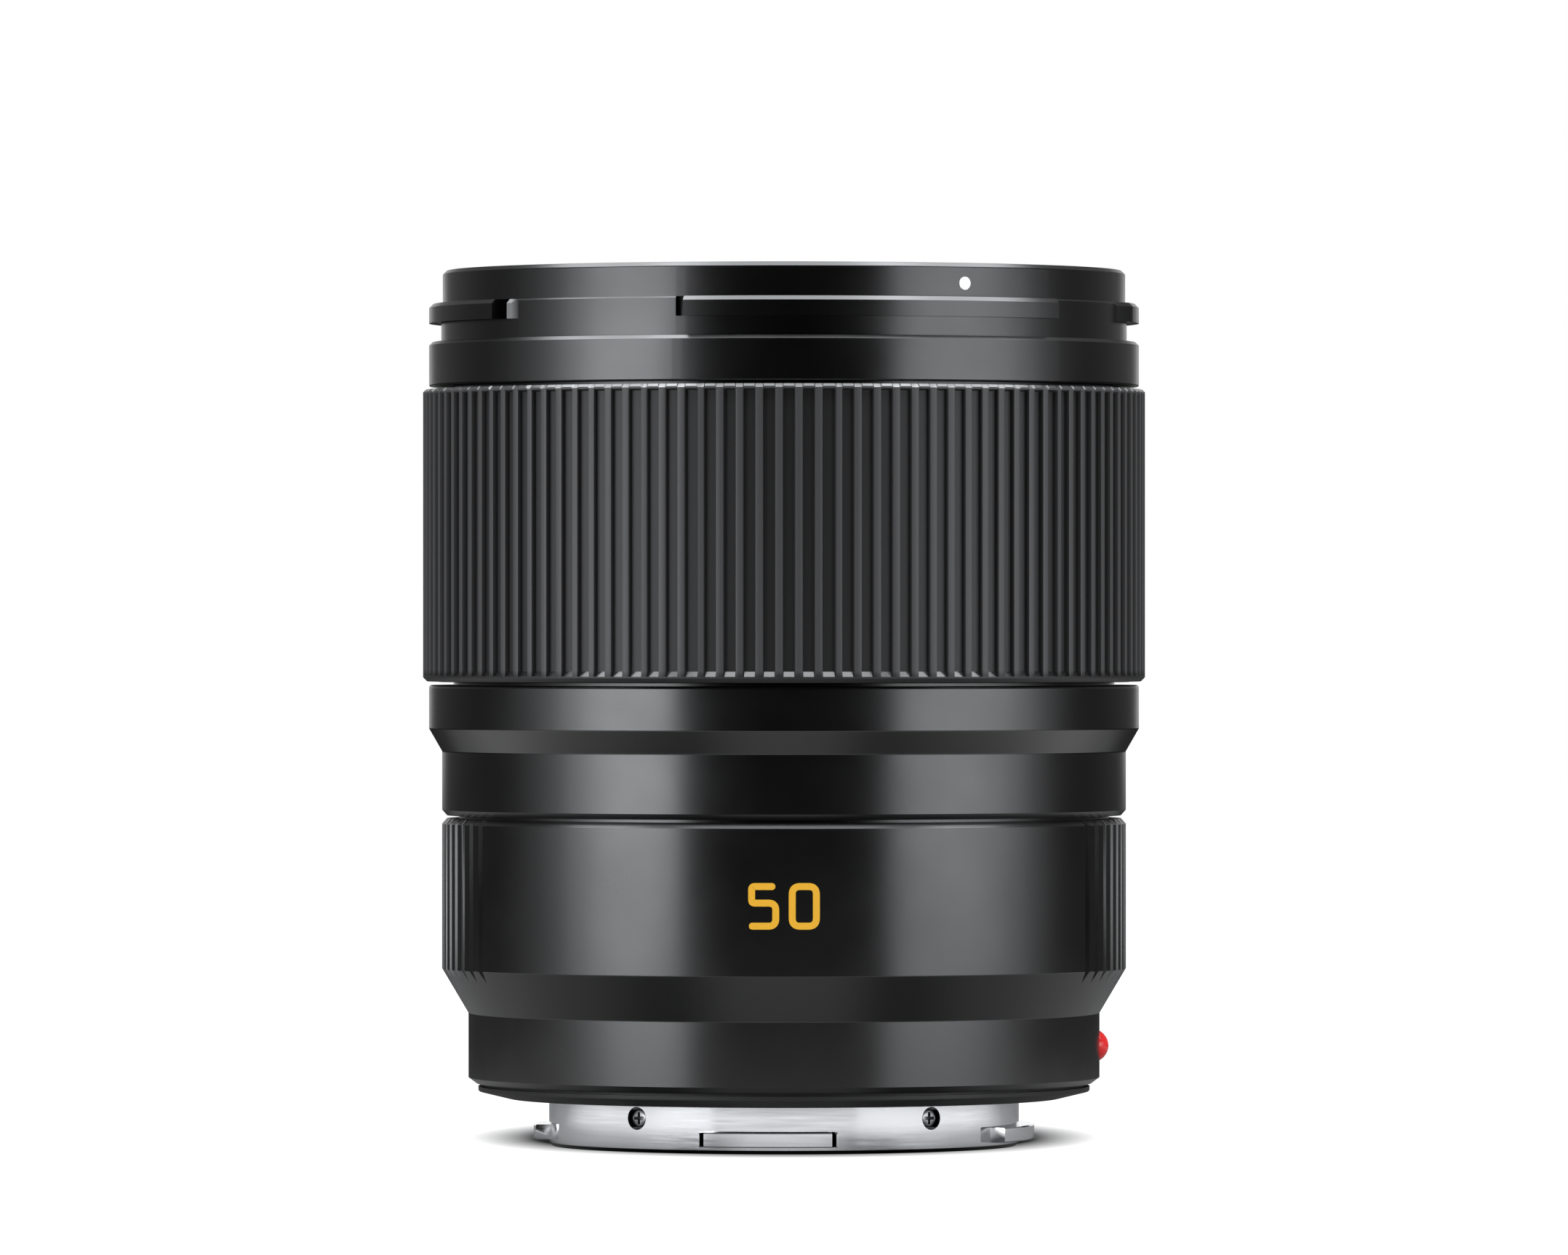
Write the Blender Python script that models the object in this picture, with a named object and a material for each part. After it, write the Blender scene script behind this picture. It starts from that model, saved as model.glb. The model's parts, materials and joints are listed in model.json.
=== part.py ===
"""Autofocus prime lens for a mirrorless camera, standing on its bayonet.

Metres, +Z along the optical axis towards the front, origin at the centre of the bayonet's rear end.
The camera that the lens is pictured from stands on -Y, and the red mounting bead is on +X.
"""

import math

import bmesh
import bpy
from mathutils import Matrix, Vector

# Clearances
SEAT_GAP = 0.0003
RUN_GAP = 0.0003

# Facets
BARREL_SEGMENTS = 32
INNER_SEGMENTS = 16
MOTOR_SEGMENTS = 14
BUSH_SEGMENTS = 12
SMALL_SEGMENTS = 8
PIN_SEGMENTS = 6
BEAD_STEPS = 2
SECTOR_STEP_DEG = 10.0
GLASS_STEPS = 2
BLADE_ARC_STEPS = 5
BLADE_EAR_STEPS = 4
GEAR_ARM_STEPS = 6
SHARP_ANGLE_DEG = 32.0
MERGE_DISTANCE = 1e-7

# Bayonet
BAYONET_REACH = 0.0048
FLANGE_THICKNESS = 0.0008
NECK_WALL = 0.00225
FLANGE_WIDTH = 0.00325
BAYONET_LIP = 0.0010
BAYONET_LEDGE = 0.0040
BOSS_HEIGHT = 0.0016
CLAW_REACH = 0.00155
CLAW_START = 0.0007
CLAW_THICKNESS = 0.0015
CLAW_RELIEF = 0.0001
CLAW_ANGLES = ((-19.7, 12.2), (61.0, 105.0), (160.0, 205.0), (255.0, 278.0))
FOOT_CHAMFER = 0.0003

# Screws in the bayonet neck
MOUNT_SCREW_ANGLES = (38.2, 141.8, 218.2, 321.8)
MOUNT_SCREW_RADIUS = 0.0009
MOUNT_SCREW_DEPTH = 0.0014
MOUNT_SCREW_SINK = 0.0003
MOUNT_SCREW_HEIGHT = 0.0034

# Weather seal round the flange
SEAL_INSET = 0.0010
SEAL_WIDTH = 0.0033
SEAL_LIP_GAP = 0.0006
SEAL_EDGE = 0.0005
SEAL_PROUD = 0.0002

# Rear barrel
MOUNT_STEP = 0.00266
MOUNT_CHAMFER = 0.0008
MOUNT_LENGTH = 0.0067
REAR_TAPER = 0.0045
REAR_LENGTH = 0.0146
REAR_FLOOR = 0.0021
MOUNT_WALL = 0.0019
BOARD_LEDGE = 0.0023
BOARD_SEAT = 0.0131
FLUTE_DEPTH = 0.0007
FLUTE_WIDTH = 0.0009
FLUTE_PITCH_DEG = 3.6
FLUTE_COUNT = 17
FLUTE_CENTRES = (90.0, 270.0)

# Groove between the rear and main barrels
GROOVE_HALF = 0.0007
GROOVE_DEPTH = 0.00048

# Main barrel
MID_LENGTH = 0.0059
SHOULDER_TAPER = 0.0023
SHOULDER_LENGTH = 0.00395
SHOULDER_STEP = 0.00062
BARREL_STEP = 0.00132
SPIGOT_WALL = 0.0007
SPIGOT_LENGTH = 0.00435
SPIGOT_LIP = 0.0015
LIP_LEDGE = 0.0025
IRIS_LEDGE = 0.0015
TUBE_WALL = 0.0014
IRIS_RISE = 0.00565

# Focus ring
RING_GAP = 0.0008
FOCUS_LENGTH = 0.02945
SLEEVE_WALL = 0.0013
GRIP_RADIUS = 0.0365
GRIP_WALL = 0.0012
GRIP_GROOVE_DEPTH = 0.00055
GRIP_RIB_COUNT = 117
GRIP_GROOVE_SHARE = 0.62
GRIP_FOOT = 0.0006
GRIP_HEAD = 0.0007
GRIP_ROUND = 0.0005

# Front barrel
BAND_LENGTH = 0.0045
BAND_CHAMFER = 0.0003
COUNTERBORE = 0.0037
SHELF_THICKNESS = 0.0020
SHELF_WIDTH = 0.0020
NECK_LENGTH = 0.0019
FRONT_NECK_STEP = 0.00123
LUG_THICKNESS = 0.00195
LUG_RELIEF = 0.0001
LUG_ANGLES = ((-17.5, 49.6), (74.5, 140.7), (162.0, 230.0), (254.0, 306.1))
RIM_LENGTH = 0.00338
RIM_STEP = 0.00015
RIM_WALL = 0.0015
RIM_CHAMFER = 0.0005
FILTER_CHAMFER = 0.0003

# Front group
RETAINER_EDGE = 0.0010
RETAINER_MARGIN = 0.0009
RETAINER_LIP = 0.0006
CELL_FLANGE = 0.0016
CELL_WALL = 0.0022
CELL_LIP = 0.0012
FRONT_SEAT_DEPTH = 0.0058
THIRD_GLASS_RADIUS = 0.0160
GLASS_STEP = 0.0010
THIRD_GLASS_LIP = 0.0014
GLASS_EDGE = 0.0030
FRONT_BACK_RISE = 0.0008
FRONT_FACE_RISE = 0.0026
SECOND_BACK_RISE = 0.0014
SECOND_FACE_RISE = 0.0022
THIRD_BACK_RISE = 0.0021
THIRD_FACE_RISE = -0.0012

# Diaphragm
IRIS_MARGIN = 0.0007
IRIS_PLATE = 0.0012
BLADE_COUNT = 9
BLADE_THICKNESS = 0.00015
BLADE_PITCH = 0.00046
BLADE_WIDTH = 0.0034
BLADE_SPAN_DEG = 75.0
BLADE_HEEL_DEG = 3.0
PIVOT_OFFSET = 0.0013
PIVOT_PIN = 0.0005
PIVOT_EAR = 0.0016
PIVOT_COVER = 0.0030
IRIS_RING_PLATE = 0.0010
SECTOR_ARM = 0.0046
IRIS_COVER_INSET = 0.0011
IRIS_COVER_PLATE = 0.0008
IRIS_LEG_WIDTH = 0.0040
IRIS_LEG_DEPTH = 0.0020
IRIS_LEG_TURNS = (100.0, 180.0, 260.0)

# Gear drive of the diaphragm
SECTOR_TEETH = 82
PINION_TEETH = 10
SECTOR_CUT_TEETH = 17
SECTOR_LEAD_TEETH = 2
TOOTH_SHARE = 0.36
TOOTH_FOOT = 0.72
TOOTH_TIP = 0.32
ADDENDUM = 0.75
DEDENDUM = 1.25
PINION_BORE = 0.0008
IRIS_MOTOR_ANGLE = 200.0
IRIS_MOTOR_RADIUS = 0.0026
IRIS_MOTOR_LENGTH = 0.0070

# Focusing group
ROD_INSET = 0.0045
ROD_RADIUS = 0.0010
ROD_ANGLES = (0.0, 180.0)
CARRIAGE_WALL = 0.0035
CARRIAGE_LENGTH = 0.0070
CARRIAGE_REST = 0.0015
CARRIAGE_LIP = 0.0010
BUSH_RADIUS = 0.0022
ARM_WIDTH = 0.0030
FOCUS_GLASS_RADIUS = 0.0140
FOCUS_BACK_RISE = -0.0010
FOCUS_FACE_RISE = -0.0016
SCREW_ANGLE = 60.0
SCREW_RADIUS = 0.0008
FOCUS_MOTOR_MARGIN = 0.0013
FOCUS_MOTOR_LENGTH = 0.0075

# Rear group
REAR_CELL_FLANGE = 0.0015
REAR_CELL_WALL = 0.0015
REAR_GLASS_RADIUS = 0.0152
REAR_GLASS_LIP = 0.0014
REAR_CELL_LIP = 0.0006
REAR_CELL_CLEAR = 0.0043
REAR_GLASS_SPACING = 0.0070
REAR_BACK_RISE = 0.0008
REAR_FACE_RISE = 0.0018
INNER_BACK_RISE = 0.0012
INNER_FACE_RISE = -0.0010

# Electronics
BOARD_THICKNESS = 0.0014
CONTACT_COUNT = 10
CONTACT_ANGLE = 180.0
CONTACT_PITCH_DEG = 6.4
CONTACT_INSET = 0.0027
CONTACT_RADIUS = 0.0005
CONTACT_PROUD = 0.00025
BLOCK_HALF_WIDTH = 0.0021
BLOCK_THICKNESS = 0.0014
SENSOR_SIZE = (0.0030, 0.0050, 0.0060)
SENSOR_ANGLE = 45.0

# Rear baffle
BAFFLE_THICKNESS = 0.0015
WINDOW_SIDE_MARGIN = 0.0065
WINDOW_TOP_MARGIN = 0.0110

# Mounting bead
BEAD_RADIUS = 0.0017
BEAD_PROUD = 0.0010

# Heights up the axis, from the bayonet's rear end to the filter rim
Z_FLANGE = BAYONET_REACH
Z_REAR = Z_FLANGE + FLANGE_THICKNESS + SEAT_GAP
Z_MOUNT_LOW = Z_REAR + MOUNT_CHAMFER
Z_MOUNT_HIGH = Z_MOUNT_LOW + MOUNT_LENGTH
Z_TAPER_HIGH = Z_MOUNT_HIGH + REAR_TAPER
Z_GROOVE_LOW = Z_TAPER_HIGH + REAR_LENGTH
Z_GROOVE = Z_GROOVE_LOW + GROOVE_HALF
Z_GROOVE_HIGH = Z_GROOVE + GROOVE_HALF
Z_MID_HIGH = Z_GROOVE_HIGH + MID_LENGTH
Z_SHOULDER_LOW = Z_MID_HIGH + SHOULDER_TAPER
Z_SHOULDER = Z_SHOULDER_LOW + SHOULDER_LENGTH
Z_RING_LOW = Z_SHOULDER + RING_GAP
Z_RING_HIGH = Z_RING_LOW + FOCUS_LENGTH
Z_BAND_LOW = Z_RING_HIGH + RUN_GAP
Z_BAND_HIGH = Z_BAND_LOW + BAND_LENGTH
Z_LUG_LOW = Z_BAND_HIGH + NECK_LENGTH
Z_LUG_HIGH = Z_LUG_LOW + LUG_THICKNESS
Z_RIM = Z_LUG_HIGH + RIM_LENGTH

# Radii from the grip inwards
SLEEVE_RADIUS = GRIP_RADIUS - GRIP_WALL - SEAT_GAP
SLEEVE_BORE = SLEEVE_RADIUS - SLEEVE_WALL
TUBE_RADIUS = SLEEVE_BORE - RUN_GAP
TUBE_BORE = TUBE_RADIUS - TUBE_WALL
MAIN_BORE = TUBE_BORE - IRIS_LEDGE
LIP_BORE = MAIN_BORE - LIP_LEDGE
SHOULDER_RADIUS = GRIP_RADIUS - SHOULDER_STEP
BARREL_RADIUS = SHOULDER_RADIUS - BARREL_STEP
MOUNT_RADIUS = BARREL_RADIUS - MOUNT_STEP
REAR_BORE = MOUNT_RADIUS - MOUNT_WALL
BOARD_BORE = REAR_BORE + BOARD_LEDGE
SEAL_RADIUS = MOUNT_RADIUS - SEAL_INSET
FRONT_NECK_RADIUS = SHOULDER_RADIUS - FRONT_NECK_STEP
RIM_RADIUS = FRONT_NECK_RADIUS - RIM_STEP
FILTER_BORE = RIM_RADIUS - RIM_WALL
SHELF_BORE = FILTER_BORE - SHELF_WIDTH

# Radii of the bayonet
SEAL_LIP_RADIUS = SEAL_RADIUS - SEAL_WIDTH
FLANGE_RADIUS = SEAL_LIP_RADIUS - SEAL_LIP_GAP
NECK_RADIUS = FLANGE_RADIUS - FLANGE_WIDTH
CLAW_RADIUS = NECK_RADIUS + CLAW_REACH
BAYONET_BORE = NECK_RADIUS - NECK_WALL
CONTACT_CIRCLE = BAYONET_BORE - CONTACT_INSET

# Radii of the glass and its cells
SECOND_GLASS_RADIUS = THIRD_GLASS_RADIUS + GLASS_STEP
FRONT_GLASS_RADIUS = SECOND_GLASS_RADIUS + GLASS_STEP
CELL_RADIUS = FRONT_GLASS_RADIUS + SEAT_GAP + CELL_WALL
RETAINER_BORE = FRONT_GLASS_RADIUS + RETAINER_MARGIN
REAR_CELL_RADIUS = REAR_GLASS_RADIUS + SEAT_GAP + REAR_CELL_WALL
CARRIAGE_RADIUS = FOCUS_GLASS_RADIUS + CARRIAGE_WALL

# Radii of the drives, from the main barrel's bore inwards
ROD_CIRCLE = MAIN_BORE - ROD_INSET
SCREW_CIRCLE = (REAR_CELL_RADIUS + LIP_BORE) / 2
FOCUS_MOTOR_RADIUS = (LIP_BORE - REAR_CELL_RADIUS) / 2 - FOCUS_MOTOR_MARGIN
PINION_CIRCLE = MAIN_BORE - SEAT_GAP - IRIS_MOTOR_RADIUS
GEAR_MODULE = 2 * PINION_CIRCLE / (SECTOR_TEETH + PINION_TEETH)
SECTOR_PITCH_RADIUS = GEAR_MODULE * SECTOR_TEETH / 2
PINION_PITCH_RADIUS = GEAR_MODULE * PINION_TEETH / 2
IRIS_COVER_RADIUS = SECTOR_PITCH_RADIUS - IRIS_COVER_INSET
IRIS_RING_RADIUS = SECTOR_PITCH_RADIUS - SECTOR_ARM
PIVOT_RADIUS = IRIS_RING_RADIUS - PIVOT_COVER
BLADE_OUTER = PIVOT_RADIUS - PIVOT_OFFSET
BLADE_INNER = BLADE_OUTER - BLADE_WIDTH
IRIS_BORE = BLADE_INNER + IRIS_MARGIN

# Seats inside
Z_SHELF_LOW = Z_BAND_LOW + COUNTERBORE
Z_SHELF = Z_SHELF_LOW + SHELF_THICKNESS
Z_TUBE_TOP = Z_SHELF_LOW - SEAT_GAP
Z_SPIGOT = Z_GROOVE - SPIGOT_LENGTH
Z_SPIGOT_LIP = Z_SPIGOT + SPIGOT_LIP
SPIGOT_RADIUS = BARREL_RADIUS - FLUTE_DEPTH - SPIGOT_WALL - SEAT_GAP
Z_BOARD_SEAT = Z_REAR + BOARD_SEAT
Z_IRIS_SEAT = Z_SHOULDER + IRIS_RISE
Z_IRIS_BASE = Z_IRIS_SEAT + SEAT_GAP
Z_IRIS_BASE_TOP = Z_IRIS_BASE + IRIS_PLATE
Z_BLADES = Z_IRIS_BASE_TOP + SEAT_GAP
Z_IRIS_RING = Z_BLADES + (BLADE_COUNT - 1) * BLADE_PITCH + BLADE_THICKNESS + 2 * RUN_GAP
Z_IRIS_COVER = Z_IRIS_RING + IRIS_RING_PLATE + RUN_GAP
Z_IRIS_TOP = Z_IRIS_COVER + IRIS_COVER_PLATE
Z_REAR_CELL_FLANGE = Z_SPIGOT_LIP + SEAT_GAP
Z_REAR_CELL_TOP = Z_REAR_CELL_FLANGE + REAR_CELL_FLANGE
Z_CARRIAGE = Z_REAR_CELL_TOP + CARRIAGE_REST
BEAD_HEIGHT = Z_MOUNT_LOW + MOUNT_LENGTH / 2
OVERCUT = 0.0010


def clear_scene():
    for item in list(bpy.data.objects):
        bpy.data.objects.remove(item, do_unlink=True)


def polar(radius, degrees, z=0.0):
    """Point at an angle counted from the picture's side, -Y, towards the bead's side, +X."""
    angle = math.radians(degrees - 90.0)
    return Vector((radius * math.cos(angle), radius * math.sin(angle), z))


def finish_material(name, colour, roughness, metallic, alpha=1.0):
    material = bpy.data.materials.get(name)
    if material is None:
        material = bpy.data.materials.new(name)
        material.use_nodes = True
        shader = material.node_tree.nodes["Principled BSDF"]
        shader.inputs["Base Color"].default_value = (*colour, 1.0)
        shader.inputs["Roughness"].default_value = roughness
        shader.inputs["Metallic"].default_value = metallic
        shader.inputs["Alpha"].default_value = alpha
    return material


def black_metal():
    return finish_material("anodised_black", (0.012, 0.012, 0.013), 0.34, 0.0)


def black_plastic():
    return finish_material("matt_black", (0.010, 0.010, 0.010), 0.70, 0.0)


def rubber():
    return finish_material("rubber", (0.040, 0.040, 0.040), 0.80, 0.0)


def steel():
    return finish_material("steel", (0.72, 0.72, 0.73), 0.22, 1.0)


def glass():
    return finish_material("coated_glass", (0.55, 0.62, 0.70), 0.03, 0.0, 0.35)


def gold():
    return finish_material("gold_plate", (0.83, 0.62, 0.24), 0.25, 1.0)


def circuit():
    return finish_material("circuit_board", (0.02, 0.10, 0.05), 0.50, 0.0)


def brass():
    return finish_material("brass", (0.72, 0.52, 0.22), 0.30, 1.0)


def red_paint():
    return finish_material("red_bead", (0.65, 0.02, 0.02), 0.20, 0.0)


def new_object(name, bm, material=None):
    """Turns a bmesh into a smooth-shaded object with its faces pointing out."""
    bmesh.ops.remove_doubles(bm, verts=bm.verts, dist=MERGE_DISTANCE)
    bmesh.ops.recalc_face_normals(bm, faces=bm.faces)
    mesh = bpy.data.meshes.new(name)
    bm.to_mesh(mesh)
    bm.free()
    mesh.shade_smooth()
    mesh.set_sharp_from_angle(angle=math.radians(SHARP_ANGLE_DEG))
    if material is not None:
        mesh.materials.append(material)
    item = bpy.data.objects.new(name, mesh)
    bpy.context.scene.collection.objects.link(item)
    return item


def make_helper(item):
    """Marks a cutter or an adder, which is a guide and no piece of the lens."""
    item.hide_render = True
    item.display_type = "WIRE"
    return item


def combine(target, tool, operation):
    modifier = target.modifiers.new(tool.name, "BOOLEAN")
    modifier.solver = "EXACT"
    modifier.operation = operation
    modifier.object = make_helper(tool)
    return target


def cut(target, tool):
    return combine(target, tool, "DIFFERENCE")


def weld(target, tool):
    return combine(target, tool, "UNION")


def spin_into(bm, points, segments, closed):
    """Turns a profile of (radius, height) points round the optical axis."""
    verts = [bm.verts.new((radius, 0.0, z)) for radius, z in points]
    pairs = list(zip(verts, verts[1:]))
    if closed:
        pairs.append((verts[-1], verts[0]))
    edges = [bm.edges.new(pair) for pair in pairs]
    bmesh.ops.spin(bm, geom=verts + edges, cent=(0, 0, 0), axis=(0, 0, 1), angle=math.tau,
                   steps=segments, use_merge=True)
    bmesh.ops.remove_doubles(bm, verts=bm.verts, dist=MERGE_DISTANCE)


def turned_ring(name, points, segments, material):
    bm = bmesh.new()
    spin_into(bm, points, segments, closed=True)
    return new_object(name, bm, material)


def add_prism(bm, outline, low, high):
    """Extrudes a flat outline of (x, y) points from one height to another."""
    face = bm.faces.new([bm.verts.new((x, y, low)) for x, y in outline])
    grown = bmesh.ops.extrude_face_region(bm, geom=[face])
    moved = [item for item in grown["geom"] if isinstance(item, bmesh.types.BMVert)]
    bmesh.ops.translate(bm, verts=moved, vec=(0, 0, high - low))


def circle_outline(radius, segments, centre=(0.0, 0.0)):
    angles = [math.tau * step / segments for step in range(segments)]
    return [(centre[0] + radius * math.cos(a), centre[1] + radius * math.sin(a)) for a in angles]


def rod(name, radius, low, high, material, centre=(0.0, 0.0), segments=SMALL_SEGMENTS):
    """Upright round bar whose origin is on its own axis."""
    bm = bmesh.new()
    add_prism(bm, circle_outline(radius, segments), low, high)
    item = new_object(name, bm, material)
    item.location = (centre[0], centre[1], 0.0)
    return item


def sector_outline(inner, outer, first, last, step_deg=SECTOR_STEP_DEG):
    """Outline of a ring sector between two angles counted from -Y towards +X."""
    steps = max(2, math.ceil((last - first) / step_deg))
    angles = [first + (last - first) * step / steps for step in range(steps + 1)]
    arc_out = [polar(outer, angle) for angle in angles]
    arc_in = [polar(inner, angle) for angle in reversed(angles)]
    return [(point.x, point.y) for point in arc_out + arc_in]


def gaps_between(spans):
    """The stretches of a circle that a list of (first, last) angles leaves free."""
    shifted = spans[1:] + ((spans[0][0] + 360.0, spans[0][1] + 360.0),)
    return [(here[1], after[0]) for here, after in zip(spans, shifted)]


def milled_gaps(name, spans, inner, outer, low, high):
    """Cutter that clears a turned collar everywhere but at its lugs."""
    bm = bmesh.new()
    for first, last in gaps_between(spans):
        add_prism(bm, sector_outline(inner, outer, first, last), low, high)
    return new_object(name, bm)


def sphere_arc(edge_radius, edge_z, rise, steps=GLASS_STEPS):
    """Spherical cap profile, from the axis out to the edge; rise is the pole's height over the edge."""
    radius = (edge_radius ** 2 + rise ** 2) / (2 * abs(rise))
    sign = math.copysign(1.0, rise)
    points = []
    for step in range(steps + 1):
        reach = edge_radius * step / steps
        drop = radius - math.sqrt(radius ** 2 - reach ** 2)
        points.append((reach, edge_z + rise - sign * drop))
    return points


def lens(name, radius, low, edge, rise_back, rise_front):
    """Glass element between its edge heights; a rise is how far a pole lies above its own edge."""
    back = sphere_arc(radius, low, rise_back)
    front = sphere_arc(radius, low + edge, rise_front)
    bm = bmesh.new()
    spin_into(bm, back + front[::-1], INNER_SEGMENTS, closed=False)
    return new_object(name, bm, glass())


def make_front_barrel():
    barrel = turned_ring("front_barrel", [
        (FILTER_BORE + FILTER_CHAMFER, Z_RIM),
        (RIM_RADIUS - RIM_CHAMFER, Z_RIM),
        (RIM_RADIUS, Z_RIM - RIM_CHAMFER),
        (RIM_RADIUS, Z_LUG_HIGH),
        (SHOULDER_RADIUS, Z_LUG_HIGH),
        (SHOULDER_RADIUS, Z_LUG_LOW),
        (FRONT_NECK_RADIUS, Z_LUG_LOW),
        (FRONT_NECK_RADIUS, Z_BAND_HIGH),
        (SHOULDER_RADIUS - BAND_CHAMFER, Z_BAND_HIGH),
        (SHOULDER_RADIUS, Z_BAND_HIGH - BAND_CHAMFER),
        (SHOULDER_RADIUS, Z_BAND_LOW),
        (TUBE_RADIUS + SEAT_GAP, Z_BAND_LOW),
        (TUBE_RADIUS + SEAT_GAP, Z_SHELF_LOW),
        (SHELF_BORE, Z_SHELF_LOW),
        (SHELF_BORE, Z_SHELF),
        (FILTER_BORE, Z_SHELF),
        (FILTER_BORE, Z_RIM - FILTER_CHAMFER),
    ], BARREL_SEGMENTS, black_metal())
    gaps = milled_gaps("hood_lug_cutter", LUG_ANGLES, FRONT_NECK_RADIUS - LUG_RELIEF,
                       SHOULDER_RADIUS + OVERCUT, Z_LUG_LOW - LUG_RELIEF, Z_LUG_HIGH + LUG_RELIEF)
    return cut(barrel, gaps)


def make_focus_ring():
    turned_ring("focus_ring", [
        (SLEEVE_RADIUS, Z_RING_HIGH - SEAT_GAP),
        (SLEEVE_RADIUS, Z_SHOULDER + RUN_GAP),
        (SLEEVE_BORE, Z_SHOULDER + RUN_GAP),
        (SLEEVE_BORE, Z_RING_HIGH - SEAT_GAP),
    ], BARREL_SEGMENTS, black_metal())


def make_focus_grip():
    """Rubber sleeve: one facet to a rib, with every groove ending at a foot and a head."""
    bore = SLEEVE_RADIUS + SEAT_GAP
    grip = turned_ring("focus_grip", [
        (GRIP_RADIUS - GRIP_ROUND, Z_RING_HIGH),
        (GRIP_RADIUS, Z_RING_HIGH - GRIP_ROUND),
        (GRIP_RADIUS, Z_RING_LOW),
        (bore, Z_RING_LOW),
        (bore, Z_RING_HIGH),
    ], GRIP_RIB_COUNT, rubber())
    pitch = 360.0 / GRIP_RIB_COUNT
    half_groove = pitch * GRIP_GROOVE_SHARE / 2
    bm = bmesh.new()
    for rib in range(GRIP_RIB_COUNT):
        middle = 90.0 + (rib + 0.5) * pitch
        outline = sector_outline(GRIP_RADIUS - GRIP_GROOVE_DEPTH, GRIP_RADIUS + OVERCUT,
                                 middle - half_groove, middle + half_groove, pitch)
        add_prism(bm, outline, Z_RING_LOW + GRIP_FOOT, Z_RING_HIGH - GRIP_HEAD)
    grooves = new_object("grip_groove_cutter", bm)
    for item in (grip, grooves):
        item.rotation_euler = (0.0, 0.0, math.radians(pitch / 2))
    return cut(grip, grooves)


def make_main_barrel():
    groove_radius = BARREL_RADIUS - GROOVE_DEPTH
    turned_ring("main_barrel", [
        (TUBE_RADIUS, Z_TUBE_TOP),
        (TUBE_RADIUS, Z_SHOULDER),
        (SHOULDER_RADIUS, Z_SHOULDER),
        (SHOULDER_RADIUS, Z_SHOULDER_LOW),
        (BARREL_RADIUS, Z_MID_HIGH),
        (BARREL_RADIUS, Z_GROOVE_HIGH),
        (groove_radius, Z_GROOVE + SEAT_GAP / 2),
        (SPIGOT_RADIUS, Z_GROOVE + SEAT_GAP / 2),
        (SPIGOT_RADIUS, Z_SPIGOT),
        (LIP_BORE, Z_SPIGOT),
        (LIP_BORE, Z_SPIGOT_LIP),
        (MAIN_BORE, Z_SPIGOT_LIP),
        (MAIN_BORE, Z_IRIS_SEAT),
        (TUBE_BORE, Z_IRIS_SEAT),
        (TUBE_BORE, Z_TUBE_TOP),
    ], BARREL_SEGMENTS, black_metal())


def flute_cutter():
    """V-shaped flutes of the two hand grips; they run out through the rear taper."""
    bm = bmesh.new()
    low = Z_MOUNT_HIGH
    high = Z_GROOVE + OVERCUT
    flare = FLUTE_WIDTH / 2 * (FLUTE_DEPTH + OVERCUT) / FLUTE_DEPTH
    for centre in FLUTE_CENTRES:
        for step in range(FLUTE_COUNT):
            angle = centre + (step - (FLUTE_COUNT - 1) / 2) * FLUTE_PITCH_DEG
            root = polar(BARREL_RADIUS - FLUTE_DEPTH, angle)
            crest = polar(BARREL_RADIUS + OVERCUT, angle)
            side = polar(1.0, angle + 90.0) * flare
            add_prism(bm, [(root.x, root.y), (crest.x + side.x, crest.y + side.y),
                           (crest.x - side.x, crest.y - side.y)], low, high)
    return new_object("flute_cutter", bm)


def make_rear_barrel():
    recess = SPIGOT_RADIUS + SEAT_GAP
    barrel = turned_ring("rear_barrel", [
        (BARREL_RADIUS - GROOVE_DEPTH, Z_GROOVE - SEAT_GAP / 2),
        (BARREL_RADIUS, Z_GROOVE_LOW),
        (BARREL_RADIUS, Z_TAPER_HIGH),
        (MOUNT_RADIUS, Z_MOUNT_HIGH),
        (MOUNT_RADIUS, Z_MOUNT_LOW),
        (MOUNT_RADIUS - MOUNT_CHAMFER, Z_REAR),
        (NECK_RADIUS + SEAT_GAP, Z_REAR),
        (NECK_RADIUS + SEAT_GAP, Z_REAR + REAR_FLOOR),
        (REAR_BORE, Z_REAR + REAR_FLOOR),
        (REAR_BORE, Z_BOARD_SEAT),
        (BOARD_BORE, Z_BOARD_SEAT),
        (BOARD_BORE, Z_SPIGOT - SEAT_GAP),
        (recess, Z_SPIGOT - SEAT_GAP),
        (recess, Z_GROOVE - SEAT_GAP / 2),
    ], BARREL_SEGMENTS, black_metal())
    cut(barrel, flute_cutter())
    return cut(barrel, bead_ball("bead_seat_cutter", BEAD_RADIUS + SEAT_GAP, None))


def bead_ball(name, radius, material):
    bm = bmesh.new()
    bmesh.ops.create_icosphere(bm, subdivisions=BEAD_STEPS, radius=radius)
    item = new_object(name, bm, material)
    item.location = (MOUNT_RADIUS + BEAD_PROUD - BEAD_RADIUS, 0.0, BEAD_HEIGHT)
    return item


def make_mount_seal():
    """Rubber ring whose inner lip stands a little proud of the flange."""
    turned_ring("mount_seal", [
        (SEAL_RADIUS, Z_REAR - SEAT_GAP),
        (SEAL_RADIUS, Z_REAR - SEAT_GAP - SEAL_EDGE),
        (SEAL_LIP_RADIUS + SEAT_GAP, Z_FLANGE - SEAL_PROUD),
        (SEAL_LIP_RADIUS, Z_FLANGE - SEAL_PROUD),
        (SEAL_LIP_RADIUS, Z_REAR - SEAT_GAP),
    ], BARREL_SEGMENTS, rubber())


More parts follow.
